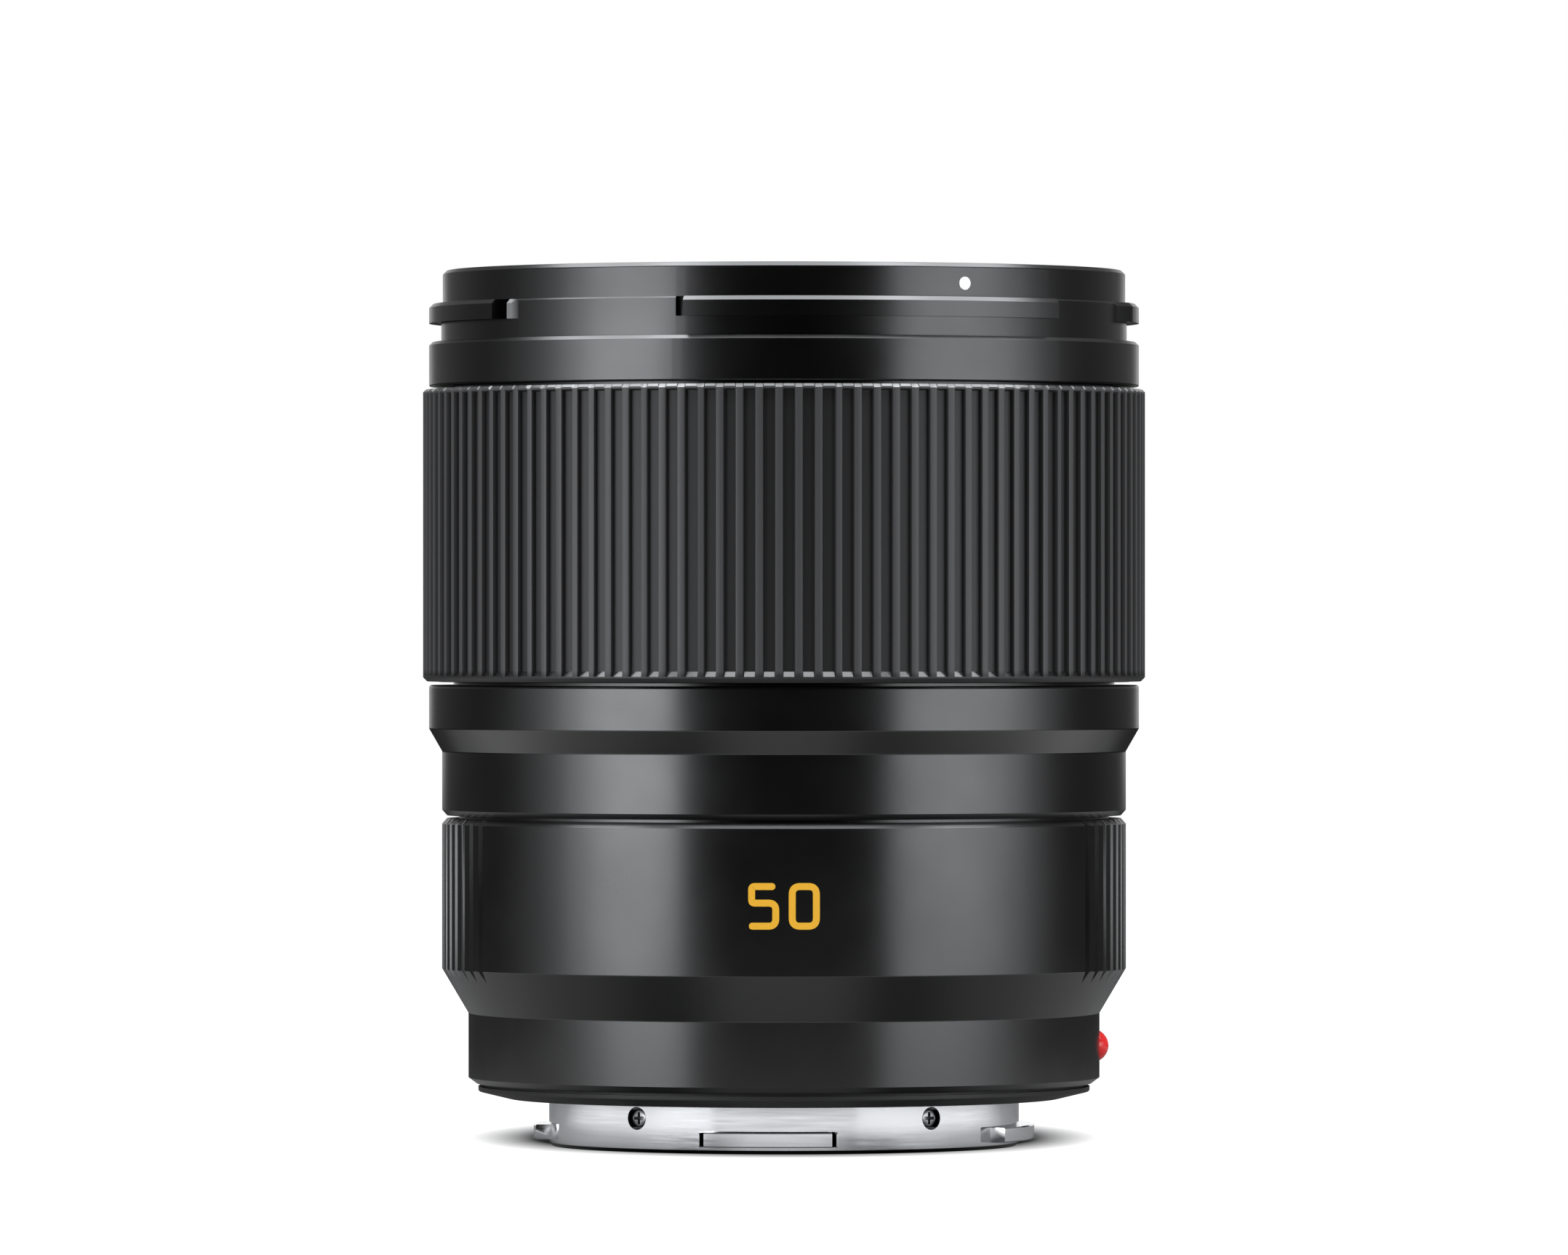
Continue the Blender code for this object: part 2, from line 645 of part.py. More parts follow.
def screw_bar(name, radius, depth, degrees, reach, material):
    """Short bar that lies along a radius, with its outer end at the given reach."""
    bm = bmesh.new()
    add_prism(bm, circle_outline(radius, SMALL_SEGMENTS), -depth, 0.0)
    item = new_object(name, bm, material)
    outward = polar(1.0, degrees)
    item.rotation_mode = "QUATERNION"
    item.rotation_quaternion = outward.to_track_quat("Z", "Y")
    item.location = polar(reach, degrees, MOUNT_SCREW_HEIGHT)
    return item


def make_bayonet_mount():
    """Steel bayonet: turned with a full collar, then milled to four claws and drilled for its screws."""
    z_boss = Z_REAR + BOSS_HEIGHT
    z_claw = CLAW_START + CLAW_THICKNESS
    mount = turned_ring("bayonet_mount", [
        (NECK_RADIUS, z_boss),
        (NECK_RADIUS, Z_FLANGE + FLANGE_THICKNESS),
        (FLANGE_RADIUS, Z_FLANGE + FLANGE_THICKNESS),
        (FLANGE_RADIUS, Z_FLANGE),
        (NECK_RADIUS, Z_FLANGE),
        (NECK_RADIUS, z_claw),
        (CLAW_RADIUS, z_claw),
        (CLAW_RADIUS, CLAW_START),
        (NECK_RADIUS, CLAW_START),
        (NECK_RADIUS, FOOT_CHAMFER),
        (NECK_RADIUS - FOOT_CHAMFER, 0.0),
        (BAYONET_BORE, 0.0),
        (BAYONET_BORE, BAYONET_LEDGE),
        (BAYONET_BORE - BAYONET_LIP, BAYONET_LEDGE),
        (BAYONET_BORE - BAYONET_LIP, z_boss),
    ], BARREL_SEGMENTS, steel())
    cut(mount, milled_gaps("claw_cutter", CLAW_ANGLES, NECK_RADIUS - CLAW_RELIEF,
                           CLAW_RADIUS + OVERCUT, CLAW_START - CLAW_RELIEF, z_claw + CLAW_RELIEF))
    for number, angle in enumerate(MOUNT_SCREW_ANGLES, 1):
        hole = screw_bar(f"screw_hole_cutter_{number}", MOUNT_SCREW_RADIUS + SEAT_GAP,
                         MOUNT_SCREW_DEPTH + SEAT_GAP + OVERCUT, angle, NECK_RADIUS + OVERCUT, None)
        cut(mount, hole)
        screw_bar(f"mount_screw_{number}", MOUNT_SCREW_RADIUS, MOUNT_SCREW_DEPTH - MOUNT_SCREW_SINK,
                  angle, NECK_RADIUS - MOUNT_SCREW_SINK, steel())


def make_rear_baffle():
    """Black ring inside the bayonet with the film-gate window."""
    high = BAYONET_LEDGE - SEAT_GAP
    low = high - BAFFLE_THICKNESS
    bm = bmesh.new()
    add_prism(bm, circle_outline(BAYONET_BORE - SEAT_GAP, BARREL_SEGMENTS), low, high)
    baffle = new_object("rear_baffle", bm, black_plastic())
    half_width = BAYONET_BORE - WINDOW_SIDE_MARGIN
    half_height = BAYONET_BORE - WINDOW_TOP_MARGIN
    corners = [(half_width, half_height), (-half_width, half_height),
               (-half_width, -half_height), (half_width, -half_height)]
    window = bmesh.new()
    add_prism(window, corners, low - OVERCUT, high + OVERCUT)
    cut(baffle, new_object("window_cutter", window))
    return low


def make_contacts(ceiling):
    """Arc of gilt spring pins in a plastic block under the baffle, opposite the picture's side."""
    high = ceiling - SEAT_GAP
    low = high - BLOCK_THICKNESS
    half_span = (CONTACT_COUNT / 2 + 0.5) * CONTACT_PITCH_DEG
    bm = bmesh.new()
    add_prism(bm, sector_outline(CONTACT_CIRCLE - BLOCK_HALF_WIDTH, CONTACT_CIRCLE + BLOCK_HALF_WIDTH,
                                 CONTACT_ANGLE - half_span, CONTACT_ANGLE + half_span), low, high)
    block = new_object("contact_block", bm, black_plastic())
    holes = bmesh.new()
    for number in range(CONTACT_COUNT):
        angle = CONTACT_ANGLE + (number - (CONTACT_COUNT - 1) / 2) * CONTACT_PITCH_DEG
        spot = polar(CONTACT_CIRCLE, angle)
        rod(f"contact_pin_{number + 1:02d}", CONTACT_RADIUS, low - CONTACT_PROUD, high - SEAT_GAP, gold(),
            spot, PIN_SEGMENTS)
        add_prism(holes, circle_outline(CONTACT_RADIUS + SEAT_GAP, PIN_SEGMENTS, spot),
                  low - OVERCUT, high + OVERCUT)
    cut(block, new_object("contact_hole_cutter", holes))


def make_front_group():
    """Beauty ring, stepped cell and three elements, each resting on a step of the cell's bore."""
    turned_ring("front_retainer", [
        (FILTER_BORE - SEAT_GAP, Z_SHELF + SEAT_GAP + RETAINER_EDGE),
        (FILTER_BORE - SEAT_GAP, Z_SHELF + SEAT_GAP),
        (SHELF_BORE - SEAT_GAP, Z_SHELF + SEAT_GAP),
        (SHELF_BORE - SEAT_GAP, Z_SHELF_LOW),
        (RETAINER_BORE, Z_SHELF_LOW),
        (RETAINER_BORE, Z_SHELF_LOW + RETAINER_LIP),
    ], BARREL_SEGMENTS, black_plastic())
    top = Z_SHELF_LOW - SEAT_GAP
    low = Z_IRIS_TOP + 2 * SEAT_GAP
    first_step = top - FRONT_SEAT_DEPTH
    third_step = low + CELL_LIP
    second_step = (first_step + third_step) / 2
    turned_ring("front_cell", [
        (TUBE_BORE - SEAT_GAP, top),
        (TUBE_BORE - SEAT_GAP, top - CELL_FLANGE),
        (CELL_RADIUS, top - CELL_FLANGE),
        (CELL_RADIUS, low),
        (THIRD_GLASS_RADIUS - THIRD_GLASS_LIP, low),
        (THIRD_GLASS_RADIUS - THIRD_GLASS_LIP, third_step),
        (THIRD_GLASS_RADIUS + SEAT_GAP, third_step),
        (THIRD_GLASS_RADIUS + SEAT_GAP, second_step),
        (SECOND_GLASS_RADIUS + SEAT_GAP, second_step),
        (SECOND_GLASS_RADIUS + SEAT_GAP, first_step),
        (FRONT_GLASS_RADIUS + SEAT_GAP, first_step),
        (FRONT_GLASS_RADIUS + SEAT_GAP, top),
    ], INNER_SEGMENTS, black_metal())
    lens("front_element", FRONT_GLASS_RADIUS, first_step + SEAT_GAP, GLASS_EDGE, FRONT_BACK_RISE,
         FRONT_FACE_RISE)
    lens("second_element", SECOND_GLASS_RADIUS, second_step + SEAT_GAP, GLASS_EDGE,
         SECOND_BACK_RISE, SECOND_FACE_RISE)
    lens("third_element", THIRD_GLASS_RADIUS, third_step + SEAT_GAP, GLASS_EDGE, THIRD_BACK_RISE,
         THIRD_FACE_RISE)


def blade_outline():
    """Blade seen from the front, with its pivot at the origin and the optical axis on -X."""
    heel = -math.radians(BLADE_HEEL_DEG)
    tip = math.radians(BLADE_SPAN_DEG)
    angles = [heel + (tip - heel) * step / BLADE_ARC_STEPS for step in range(BLADE_ARC_STEPS + 1)]
    inner = [(BLADE_INNER * math.cos(a) - PIVOT_RADIUS, BLADE_INNER * math.sin(a)) for a in angles]
    outer = [(BLADE_OUTER * math.cos(a) - PIVOT_RADIUS, BLADE_OUTER * math.sin(a)) for a in angles[1:]]
    ear_angles = [math.pi * (step / BLADE_EAR_STEPS - 0.5) for step in range(BLADE_EAR_STEPS + 1)]
    ear = [(PIVOT_EAR * math.cos(a), PIVOT_EAR * math.sin(a)) for a in ear_angles]
    return inner[::-1] + ear + outer


def make_iris_blades():
    """Nine blades, each on its own level, each turning on its own pin of the base plate."""
    for number in range(BLADE_COUNT):
        angle = 360.0 * number / BLADE_COUNT
        low = Z_BLADES + number * BLADE_PITCH
        bm = bmesh.new()
        add_prism(bm, blade_outline(), low, low + BLADE_THICKNESS)
        blade = new_object(f"iris_blade_{number + 1}", bm, black_metal())
        hole = bmesh.new()
        add_prism(hole, circle_outline(PIVOT_PIN + SEAT_GAP, SMALL_SEGMENTS), low - OVERCUT, low + OVERCUT)
        cutter = new_object(f"pivot_hole_cutter_{number + 1}", hole)
        for item in (blade, cutter):
            item.location = polar(PIVOT_RADIUS, angle)
            item.rotation_euler = (0.0, 0.0, math.radians(angle - 90.0))
        cut(blade, cutter)


def make_iris_base():
    """Base plate on the main barrel's ledge, with the blades' pivot pins and the motor's shaft hole."""
    base = turned_ring("iris_base", [
        (TUBE_BORE - SEAT_GAP, Z_IRIS_BASE_TOP),
        (TUBE_BORE - SEAT_GAP, Z_IRIS_BASE),
        (IRIS_BORE, Z_IRIS_BASE),
        (IRIS_BORE, Z_IRIS_BASE_TOP),
    ], INNER_SEGMENTS, black_metal())
    pins = bmesh.new()
    for number in range(BLADE_COUNT):
        spot = polar(PIVOT_RADIUS, 360.0 * number / BLADE_COUNT)
        top = Z_BLADES + number * BLADE_PITCH + BLADE_THICKNESS + SEAT_GAP / 2
        add_prism(pins, circle_outline(PIVOT_PIN, PIN_SEGMENTS, spot),
                  Z_IRIS_BASE_TOP - IRIS_PLATE / 2, top)
    weld(base, new_object("pivot_pins", pins))
    spot = polar(PINION_CIRCLE, IRIS_MOTOR_ANGLE)
    hole = bmesh.new()
    add_prism(hole, circle_outline(PINION_BORE + SEAT_GAP, SMALL_SEGMENTS, spot),
              Z_IRIS_BASE - OVERCUT, Z_IRIS_BASE_TOP + OVERCUT)
    return cut(base, new_object("shaft_hole_cutter", hole))


def gear_profile(pitch_radius, teeth, first, last, middle_is_tooth):
    """Straight-flanked teeth round a centre, as (x, y) points, angles in radians."""
    addendum = ADDENDUM * GEAR_MODULE
    dedendum = DEDENDUM * GEAR_MODULE
    pitch = math.tau / teeth
    offset = 0.0 if middle_is_tooth else 0.5
    shares = ((-TOOTH_FOOT, -dedendum), (-TOOTH_TIP, addendum), (TOOTH_TIP, addendum),
              (TOOTH_FOOT, -dedendum))
    points = []
    for number in range(first, last + 1):
        middle = (number + offset) * pitch
        for share, depth in shares:
            angle = middle + share * TOOTH_SHARE * pitch
            radius = pitch_radius + depth
            points.append((radius * math.cos(angle), radius * math.sin(angle)))
    return points


def make_iris_ring():
    """Drive ring over the blades; its arm carries a gear sector that the pinion turns."""
    ring = turned_ring("iris_ring", [
        (IRIS_RING_RADIUS, Z_IRIS_RING + IRIS_RING_PLATE),
        (IRIS_RING_RADIUS, Z_IRIS_RING),
        (IRIS_BORE, Z_IRIS_RING),
        (IRIS_BORE, Z_IRIS_RING + IRIS_RING_PLATE),
    ], INNER_SEGMENTS, black_metal())
    first_tooth = SECTOR_LEAD_TEETH - SECTOR_CUT_TEETH
    teeth = gear_profile(SECTOR_PITCH_RADIUS, SECTOR_TEETH, first_tooth, SECTOR_LEAD_TEETH - 1, False)
    pitch = math.tau / SECTOR_TEETH
    root = IRIS_RING_RADIUS - OVERCUT
    first = first_tooth * pitch
    last = SECTOR_LEAD_TEETH * pitch
    back = [last + (first - last) * step / GEAR_ARM_STEPS for step in range(GEAR_ARM_STEPS + 1)]
    inner = [(root * math.cos(a), root * math.sin(a)) for a in back]
    bm = bmesh.new()
    add_prism(bm, teeth + inner, Z_IRIS_RING, Z_IRIS_RING + IRIS_RING_PLATE)
    sector = new_object("gear_sector", bm)
    sector.rotation_euler = (0.0, 0.0, math.radians(IRIS_MOTOR_ANGLE - 90.0))
    return weld(ring, sector)


def make_iris_cover():
    """Top plate of the diaphragm on three legs that stand outside the blades."""
    cover = turned_ring("iris_cover", [
        (IRIS_COVER_RADIUS, Z_IRIS_TOP),
        (IRIS_COVER_RADIUS, Z_IRIS_COVER),
        (IRIS_BORE, Z_IRIS_COVER),
        (IRIS_BORE, Z_IRIS_TOP),
    ], INNER_SEGMENTS, black_metal())
    half_leg = math.degrees(IRIS_LEG_WIDTH / IRIS_COVER_RADIUS) / 2
    outer = IRIS_COVER_RADIUS - SEAT_GAP
    legs = bmesh.new()
    for turn in IRIS_LEG_TURNS:
        angle = IRIS_MOTOR_ANGLE + turn
        add_prism(legs, sector_outline(outer - IRIS_LEG_DEPTH, outer, angle - half_leg, angle + half_leg),
                  Z_IRIS_BASE_TOP + SEAT_GAP, Z_IRIS_TOP - IRIS_COVER_PLATE / 2)
    return weld(cover, new_object("cover_legs", legs))


def make_iris_drive():
    """Stepper under the base plate, and the pinion on its shaft in mesh with the gear sector."""
    spot = polar(PINION_CIRCLE, IRIS_MOTOR_ANGLE)
    motor_top = Z_IRIS_BASE - SEAT_GAP
    rod("iris_motor", IRIS_MOTOR_RADIUS, motor_top - IRIS_MOTOR_LENGTH, motor_top, steel(), spot,
        MOTOR_SEGMENTS)
    bm = bmesh.new()
    outline = gear_profile(PINION_PITCH_RADIUS, PINION_TEETH, 0, PINION_TEETH - 1, True)
    add_prism(bm, outline, Z_IRIS_RING, Z_IRIS_RING + IRIS_RING_PLATE)
    pinion = new_object("iris_pinion", bm, brass())
    pinion.location = spot
    pinion.rotation_euler = (0.0, 0.0, math.radians(IRIS_MOTOR_ANGLE + 90.0))
    shaft = bmesh.new()
    add_prism(shaft, circle_outline(PINION_BORE, SMALL_SEGMENTS), motor_top + SEAT_GAP,
              Z_IRIS_RING + IRIS_RING_PLATE / 2)
    axle = new_object("pinion_shaft", shaft)
    axle.location = spot
    weld(pinion, axle)


def make_rear_group():
    """Rear cell hung from the main barrel's lip, with two elements, a spacer between and two holes."""
    low = BAYONET_LEDGE + REAR_CELL_CLEAR
    seat = low + REAR_CELL_LIP
    bore = REAR_GLASS_RADIUS + SEAT_GAP
    cell = turned_ring("rear_cell", [
        (MAIN_BORE - SEAT_GAP, Z_REAR_CELL_TOP),
        (MAIN_BORE - SEAT_GAP, Z_REAR_CELL_FLANGE),
        (REAR_CELL_RADIUS, Z_REAR_CELL_FLANGE),
        (REAR_CELL_RADIUS, low),
        (REAR_GLASS_RADIUS - REAR_GLASS_LIP, low),
        (REAR_GLASS_RADIUS - REAR_GLASS_LIP, seat),
        (bore, seat),
        (bore, Z_REAR_CELL_TOP),
    ], INNER_SEGMENTS, black_metal())
    spot = polar(SCREW_CIRCLE, SCREW_ANGLE)
    hole = bmesh.new()
    add_prism(hole, circle_outline(SCREW_RADIUS + SEAT_GAP, SMALL_SEGMENTS, spot),
              Z_REAR_CELL_FLANGE - OVERCUT, Z_REAR_CELL_TOP + OVERCUT)
    cut(cell, new_object("screw_passage_cutter", hole))
    lens("rear_element", REAR_GLASS_RADIUS, seat + SEAT_GAP, GLASS_EDGE, REAR_BACK_RISE, REAR_FACE_RISE)
    spacer_low = seat + SEAT_GAP + GLASS_EDGE + SEAT_GAP
    turned_ring("rear_spacer", [
        (REAR_GLASS_RADIUS, spacer_low + REAR_GLASS_SPACING),
        (REAR_GLASS_RADIUS, spacer_low),
        (REAR_GLASS_RADIUS - REAR_GLASS_LIP, spacer_low),
        (REAR_GLASS_RADIUS - REAR_GLASS_LIP, spacer_low + REAR_GLASS_SPACING),
    ], INNER_SEGMENTS, black_metal())
    lens("rear_inner_element", REAR_GLASS_RADIUS, spacer_low + REAR_GLASS_SPACING + SEAT_GAP, GLASS_EDGE,
         INNER_BACK_RISE, INNER_FACE_RISE)


def make_focus_carriage():
    """Focusing cell with two bushes on the guide rods and a nut on the lead screw."""
    high = Z_CARRIAGE + CARRIAGE_LENGTH
    seat = Z_CARRIAGE + CARRIAGE_LIP
    carriage = turned_ring("focus_carriage", [
        (CARRIAGE_RADIUS, high),
        (CARRIAGE_RADIUS, Z_CARRIAGE),
        (FOCUS_GLASS_RADIUS - CARRIAGE_LIP, Z_CARRIAGE),
        (FOCUS_GLASS_RADIUS - CARRIAGE_LIP, seat),
        (FOCUS_GLASS_RADIUS + SEAT_GAP, seat),
        (FOCUS_GLASS_RADIUS + SEAT_GAP, high),
    ], INNER_SEGMENTS, black_metal())
    stations = [(angle + 90.0, ROD_CIRCLE, ROD_RADIUS) for angle in ROD_ANGLES]
    stations.append((SCREW_ANGLE, SCREW_CIRCLE, SCREW_RADIUS))
    for number, (angle, reach, bar) in enumerate(stations, 1):
        spot = polar(reach, angle)
        arm = bmesh.new()
        root = (CARRIAGE_RADIUS + FOCUS_GLASS_RADIUS) / 2
        side = polar(1.0, angle + 90.0) * (ARM_WIDTH / 2)
        near = polar(root, angle)
        add_prism(arm, [(near.x - side.x, near.y - side.y), (spot.x - side.x, spot.y - side.y),
                        (spot.x + side.x, spot.y + side.y), (near.x + side.x, near.y + side.y)],
                  Z_CARRIAGE + CARRIAGE_LIP, high - CARRIAGE_LIP)
        weld(carriage, new_object(f"carriage_arm_{number}", arm))
        bush = bmesh.new()
        add_prism(bush, circle_outline(BUSH_RADIUS, BUSH_SEGMENTS, spot), Z_CARRIAGE, high)
        weld(carriage, new_object(f"carriage_bush_{number}", bush))
        hole = bmesh.new()
        add_prism(hole, circle_outline(bar + SEAT_GAP, SMALL_SEGMENTS, spot), Z_CARRIAGE - OVERCUT,
                  high + OVERCUT)
        cut(carriage, new_object(f"bush_hole_cutter_{number}", hole))
    lens("focus_element", FOCUS_GLASS_RADIUS, seat + SEAT_GAP, GLASS_EDGE, FOCUS_BACK_RISE,
         FOCUS_FACE_RISE)


def make_focus_drive():
    """Stepper under the rear cell's flange, its lead screw and the two guide rods."""
    rod_low = Z_REAR_CELL_TOP + SEAT_GAP
    rod_high = Z_IRIS_BASE - SEAT_GAP
    for number, angle in enumerate(ROD_ANGLES, 1):
        rod(f"guide_rod_{number}", ROD_RADIUS, rod_low, rod_high, steel(), polar(ROD_CIRCLE, angle + 90.0))
    spot = polar(SCREW_CIRCLE, SCREW_ANGLE)
    motor_top = Z_REAR_CELL_FLANGE - SEAT_GAP
    rod("focus_motor", FOCUS_MOTOR_RADIUS, motor_top - FOCUS_MOTOR_LENGTH, motor_top, steel(), spot,
        MOTOR_SEGMENTS)
    rod("lead_screw", SCREW_RADIUS, motor_top + SEAT_GAP, rod_high, steel(), spot)


def make_electronics():
    """Ring board on the rear barrel's ledge, and the sensor that reads the focus ring."""
    turned_ring("main_board", [
        (BOARD_BORE - SEAT_GAP, Z_BOARD_SEAT + SEAT_GAP + BOARD_THICKNESS),
        (BOARD_BORE - SEAT_GAP, Z_BOARD_SEAT + SEAT_GAP),
        (REAR_CELL_RADIUS + 2 * SEAT_GAP, Z_BOARD_SEAT + SEAT_GAP),
        (REAR_CELL_RADIUS + 2 * SEAT_GAP, Z_BOARD_SEAT + SEAT_GAP + BOARD_THICKNESS),
    ], INNER_SEGMENTS, circuit())
    bm = bmesh.new()
    bmesh.ops.create_cube(bm, size=1.0, matrix=Matrix.Diagonal((*SENSOR_SIZE, 1.0)))
    sensor = new_object("focus_sensor", bm, black_plastic())
    half_chord = SENSOR_SIZE[1] / 2
    wall = (TUBE_BORE - 2 * SEAT_GAP) * math.cos(math.asin(half_chord / TUBE_BORE))
    middle = (Z_RING_LOW + Z_RING_HIGH) / 2
    sensor.location = polar(wall - SENSOR_SIZE[0] / 2, SENSOR_ANGLE, middle)
    sensor.rotation_euler = (0.0, 0.0, math.radians(SENSOR_ANGLE - 90.0))


def main():
    clear_scene()
    make_front_barrel()
    make_focus_ring()
    make_focus_grip()
    make_main_barrel()
    make_rear_barrel()
    bead_ball("index_bead", BEAD_RADIUS, red_paint())
    make_mount_seal()
    make_bayonet_mount()
    make_contacts(make_rear_baffle())
    make_front_group()
    make_iris_base()
    make_iris_blades()
    make_iris_ring()
    make_iris_cover()
    make_iris_drive()
    make_focus_carriage()
    make_focus_drive()
    make_rear_group()
    make_electronics()


main()
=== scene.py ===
"""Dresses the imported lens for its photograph: turned barrels, rubber grip, markings, glass and studio."""

import functools
import json
import math

import bmesh
import bpy
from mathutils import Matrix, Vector


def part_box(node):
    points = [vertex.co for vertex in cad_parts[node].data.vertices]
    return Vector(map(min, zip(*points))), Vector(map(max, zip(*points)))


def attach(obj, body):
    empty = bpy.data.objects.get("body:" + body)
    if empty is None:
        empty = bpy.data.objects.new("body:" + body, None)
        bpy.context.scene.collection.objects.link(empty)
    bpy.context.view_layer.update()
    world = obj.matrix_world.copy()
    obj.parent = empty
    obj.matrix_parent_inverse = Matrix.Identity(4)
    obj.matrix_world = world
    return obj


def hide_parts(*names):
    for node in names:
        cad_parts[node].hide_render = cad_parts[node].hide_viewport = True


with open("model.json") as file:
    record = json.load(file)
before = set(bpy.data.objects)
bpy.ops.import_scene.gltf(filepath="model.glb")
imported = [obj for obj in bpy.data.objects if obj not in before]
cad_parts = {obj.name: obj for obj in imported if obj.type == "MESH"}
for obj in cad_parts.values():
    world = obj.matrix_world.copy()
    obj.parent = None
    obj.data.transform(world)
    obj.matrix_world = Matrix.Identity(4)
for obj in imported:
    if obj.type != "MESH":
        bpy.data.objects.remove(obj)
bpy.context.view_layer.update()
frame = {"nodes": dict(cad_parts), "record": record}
NODES = frame["nodes"]

# Shared by all shapes: lengths in millimetres and angles in degrees, unless a comment says otherwise
MM = 0.001
FULL_TURN = 360.0
COLUMN_STEP = 1.5
SHARP_ANGLE = math.radians(32.0)
CORNER_STEPS = 4
CORNER_LIMIT = 0.45
CORNER_PAD = 0.06
CORNER_PAD_SHARE = 0.05
FINE_ROUND = 0.05
SMALL_ROUND = 0.1
SQUARE_END = 0.04
FLAT_SHARE = 0.001

# Front barrel; lugs are rows of (azimuth, share of the lug's height)
NECK_RADIUS = 34.65
RIM_RADIUS = 34.5
FILTER_BORE = 33.0
SHELF_BORE = 31.0
LUG_HIGH = 84.95
LUG_LOW = 83.0
BAND_HIGH = 81.1
SHELF_HIGH = 82.3
SHELF_LOW = 80.3
BAND_BORE = 33.7
LUG_CHAMFER = 0.4
BAND_CHAMFER = 0.34
RIM_CHAMFER = 0.4
RIM_ROUND = 0.12
FILTER_LEAD = 0.35
THREAD_PITCH = 0.75
THREAD_DEPTH = 0.4
THREAD_TURNS = 6
LUG_NOTCH = -0.5
LUG_STEP = 0.36
LUGS = (
    ((-17.9 - SQUARE_END, 0.0), (-17.9, LUG_NOTCH), (-16.1, 1.0), (49.6, 1.0), (49.6 + SQUARE_END, 0.0)),
    ((72.6, 0.0), (77.3, 1.0), (140.7, 1.0), (140.7 + SQUARE_END, 0.0)),
    ((162.0 - SQUARE_END, 0.0), (162.0, 1.0), (230.0, 1.0), (230.0 + SQUARE_END, 0.0)),
    ((254.0 - SQUARE_END, 0.0), (254.0, 1.0), (305.9, 1.0), (305.9 + SQUARE_END, LUG_NOTCH),
     (308.2, LUG_NOTCH), (308.2 + SQUARE_END, LUG_STEP), (310.2, 0.0)),
)

# Focus ring; rib columns are (place in the pitch, share of the rib's height)
RIB_COUNT = 117
RIB_PHASE = 90.0 + FULL_TURN / RIB_COUNT / 2
RIB_COLUMNS = ((-0.18, 0.92), (-0.11, 1.0), (0.11, 1.0), (0.18, 0.92), (0.23, 0.0), (0.42, 0.0), (0.58, 0.0),
               (0.77, 0.0))
RIB_HEIGHT = 0.55
GRIP_FOOT = 0.6
LEDGE_INSET = 0.4
LEDGE_HEIGHT = 0.5
GRIP_HEAD = 0.45
GRIP_HEAD_SLOPE = 0.2
GRIP_BEVEL = 0.25
RIB_HEAD = 0.42
RIB_BEVEL = 0.36
GRIP_EDGE = 0.42
GRIP_ROUND = 0.15
GRIP_BORE = 35.3
SLEEVE_BORE = 33.7
SLEEVE_LIFT = 0.45

# Main and rear barrels
SHOULDER_HIGH = 46.5
SHOULDER_ROUND = 0.3
SHOULDER_LOW = 42.1
MID_HIGH = 39.8
GROOVE_HIGH = 33.9
GROOVE_LOW = 32.5
GROOVE_DEPTH = 0.48
GROOVE_MIDDLE = 33.2
GROOVE_SLIT = 0.15
TUBE_RADIUS = 33.4
TUBE_BORE = 32.0
IRIS_SEAT = 51.7
MAIN_BORE = 30.5
LIP_HIGH = 30.35
LIP_BORE = 28.0
SPIGOT_RADIUS = 32.86
SPIGOT_RECESS = 33.16
RECESS_LOW = 28.55
TAPER_HIGH = 17.9
MOUNT_HIGH = 13.4
MOUNT_LOW = 6.9
MOUNT_RADIUS = 31.9
MOUNT_CHAMFER = 0.8
REAR_LIFT = 0.4
REAR_FLOOR = 7.5
NECK_GAP = 0.3
REAR_BORE = 30.0
BOARD_BORE = 32.3
BOARD_SEAT = 19.0
EDGE_ROUND = 0.2
FLUTE_DEPTH = 0.7
FLUTE_WIDTH = 0.9
FLUTE_PITCH = 3.6
FLUTE_COUNT = 17
FLUTE_CENTRES = (90.0, 270.0)

# Bayonet; the two heights of the painted shade on the foot are in metres
BAYONET_NECK = 23.75
FLANGE_HIGH = 5.6
FLANGE_LOW = 4.8
CLAW_RADIUS = 25.3
CLAW_HIGH = 2.2
CLAW_LOW = 0.7
CLAW_EDGE = 0.12
CLAW_RAMP = 0.5
CLAW_LIP = 0.3
CLAW_SLOT = 1.0
BAYONET_FOOT = 0.35
FOOT_SHADE_LOW = 0.00036
FOOT_SHADE_HIGH = 0.0004
BAYONET_BORE = 21.5
BAYONET_LEDGE = 4.0
BAYONET_LIP = 20.3
# Claws are (start, end, share of the claw's height left in the slot near each end)
CLAWS = ((-19.7, 12.2, -0.6), (61.0, 105.0, 1.0), (160.0, 205.0, 1.0), (255.0, 278.0, 1.0))
SCREW_ANGLES = (38.2, 141.8, 218.2, 321.8)
SCREW_RADIUS = 0.9
SCREW_HOLE = 1.15
SCREW_LENGTH = 1.4
SCREW_HEIGHT = 3.4
SCREW_ROUND = 0.2
SCREW_SINK = 0.35
CROSS_LENGTH = 1.25
CROSS_WIDTH = 0.32
CROSS_DEPTH = 0.7
HOLE_ROOM = 0.3
OVERCUT = 1.0
ROUND_SIDES = 40
DOME_ROWS = 8
PIN_COUNT = 10
PIN_DOME = 0.6
BEAD_ANGLE = 90.0
BEAD_FOOT = 0.8

# Seal
SEAL_EDGE = 0.5
SEAL_WIDTH = 3.3
SEAL_LIP = 0.3
SEAL_SLIT = 0.05
SEAL_SHOULDER = 0.6
SEAL_LIFT = 0.18

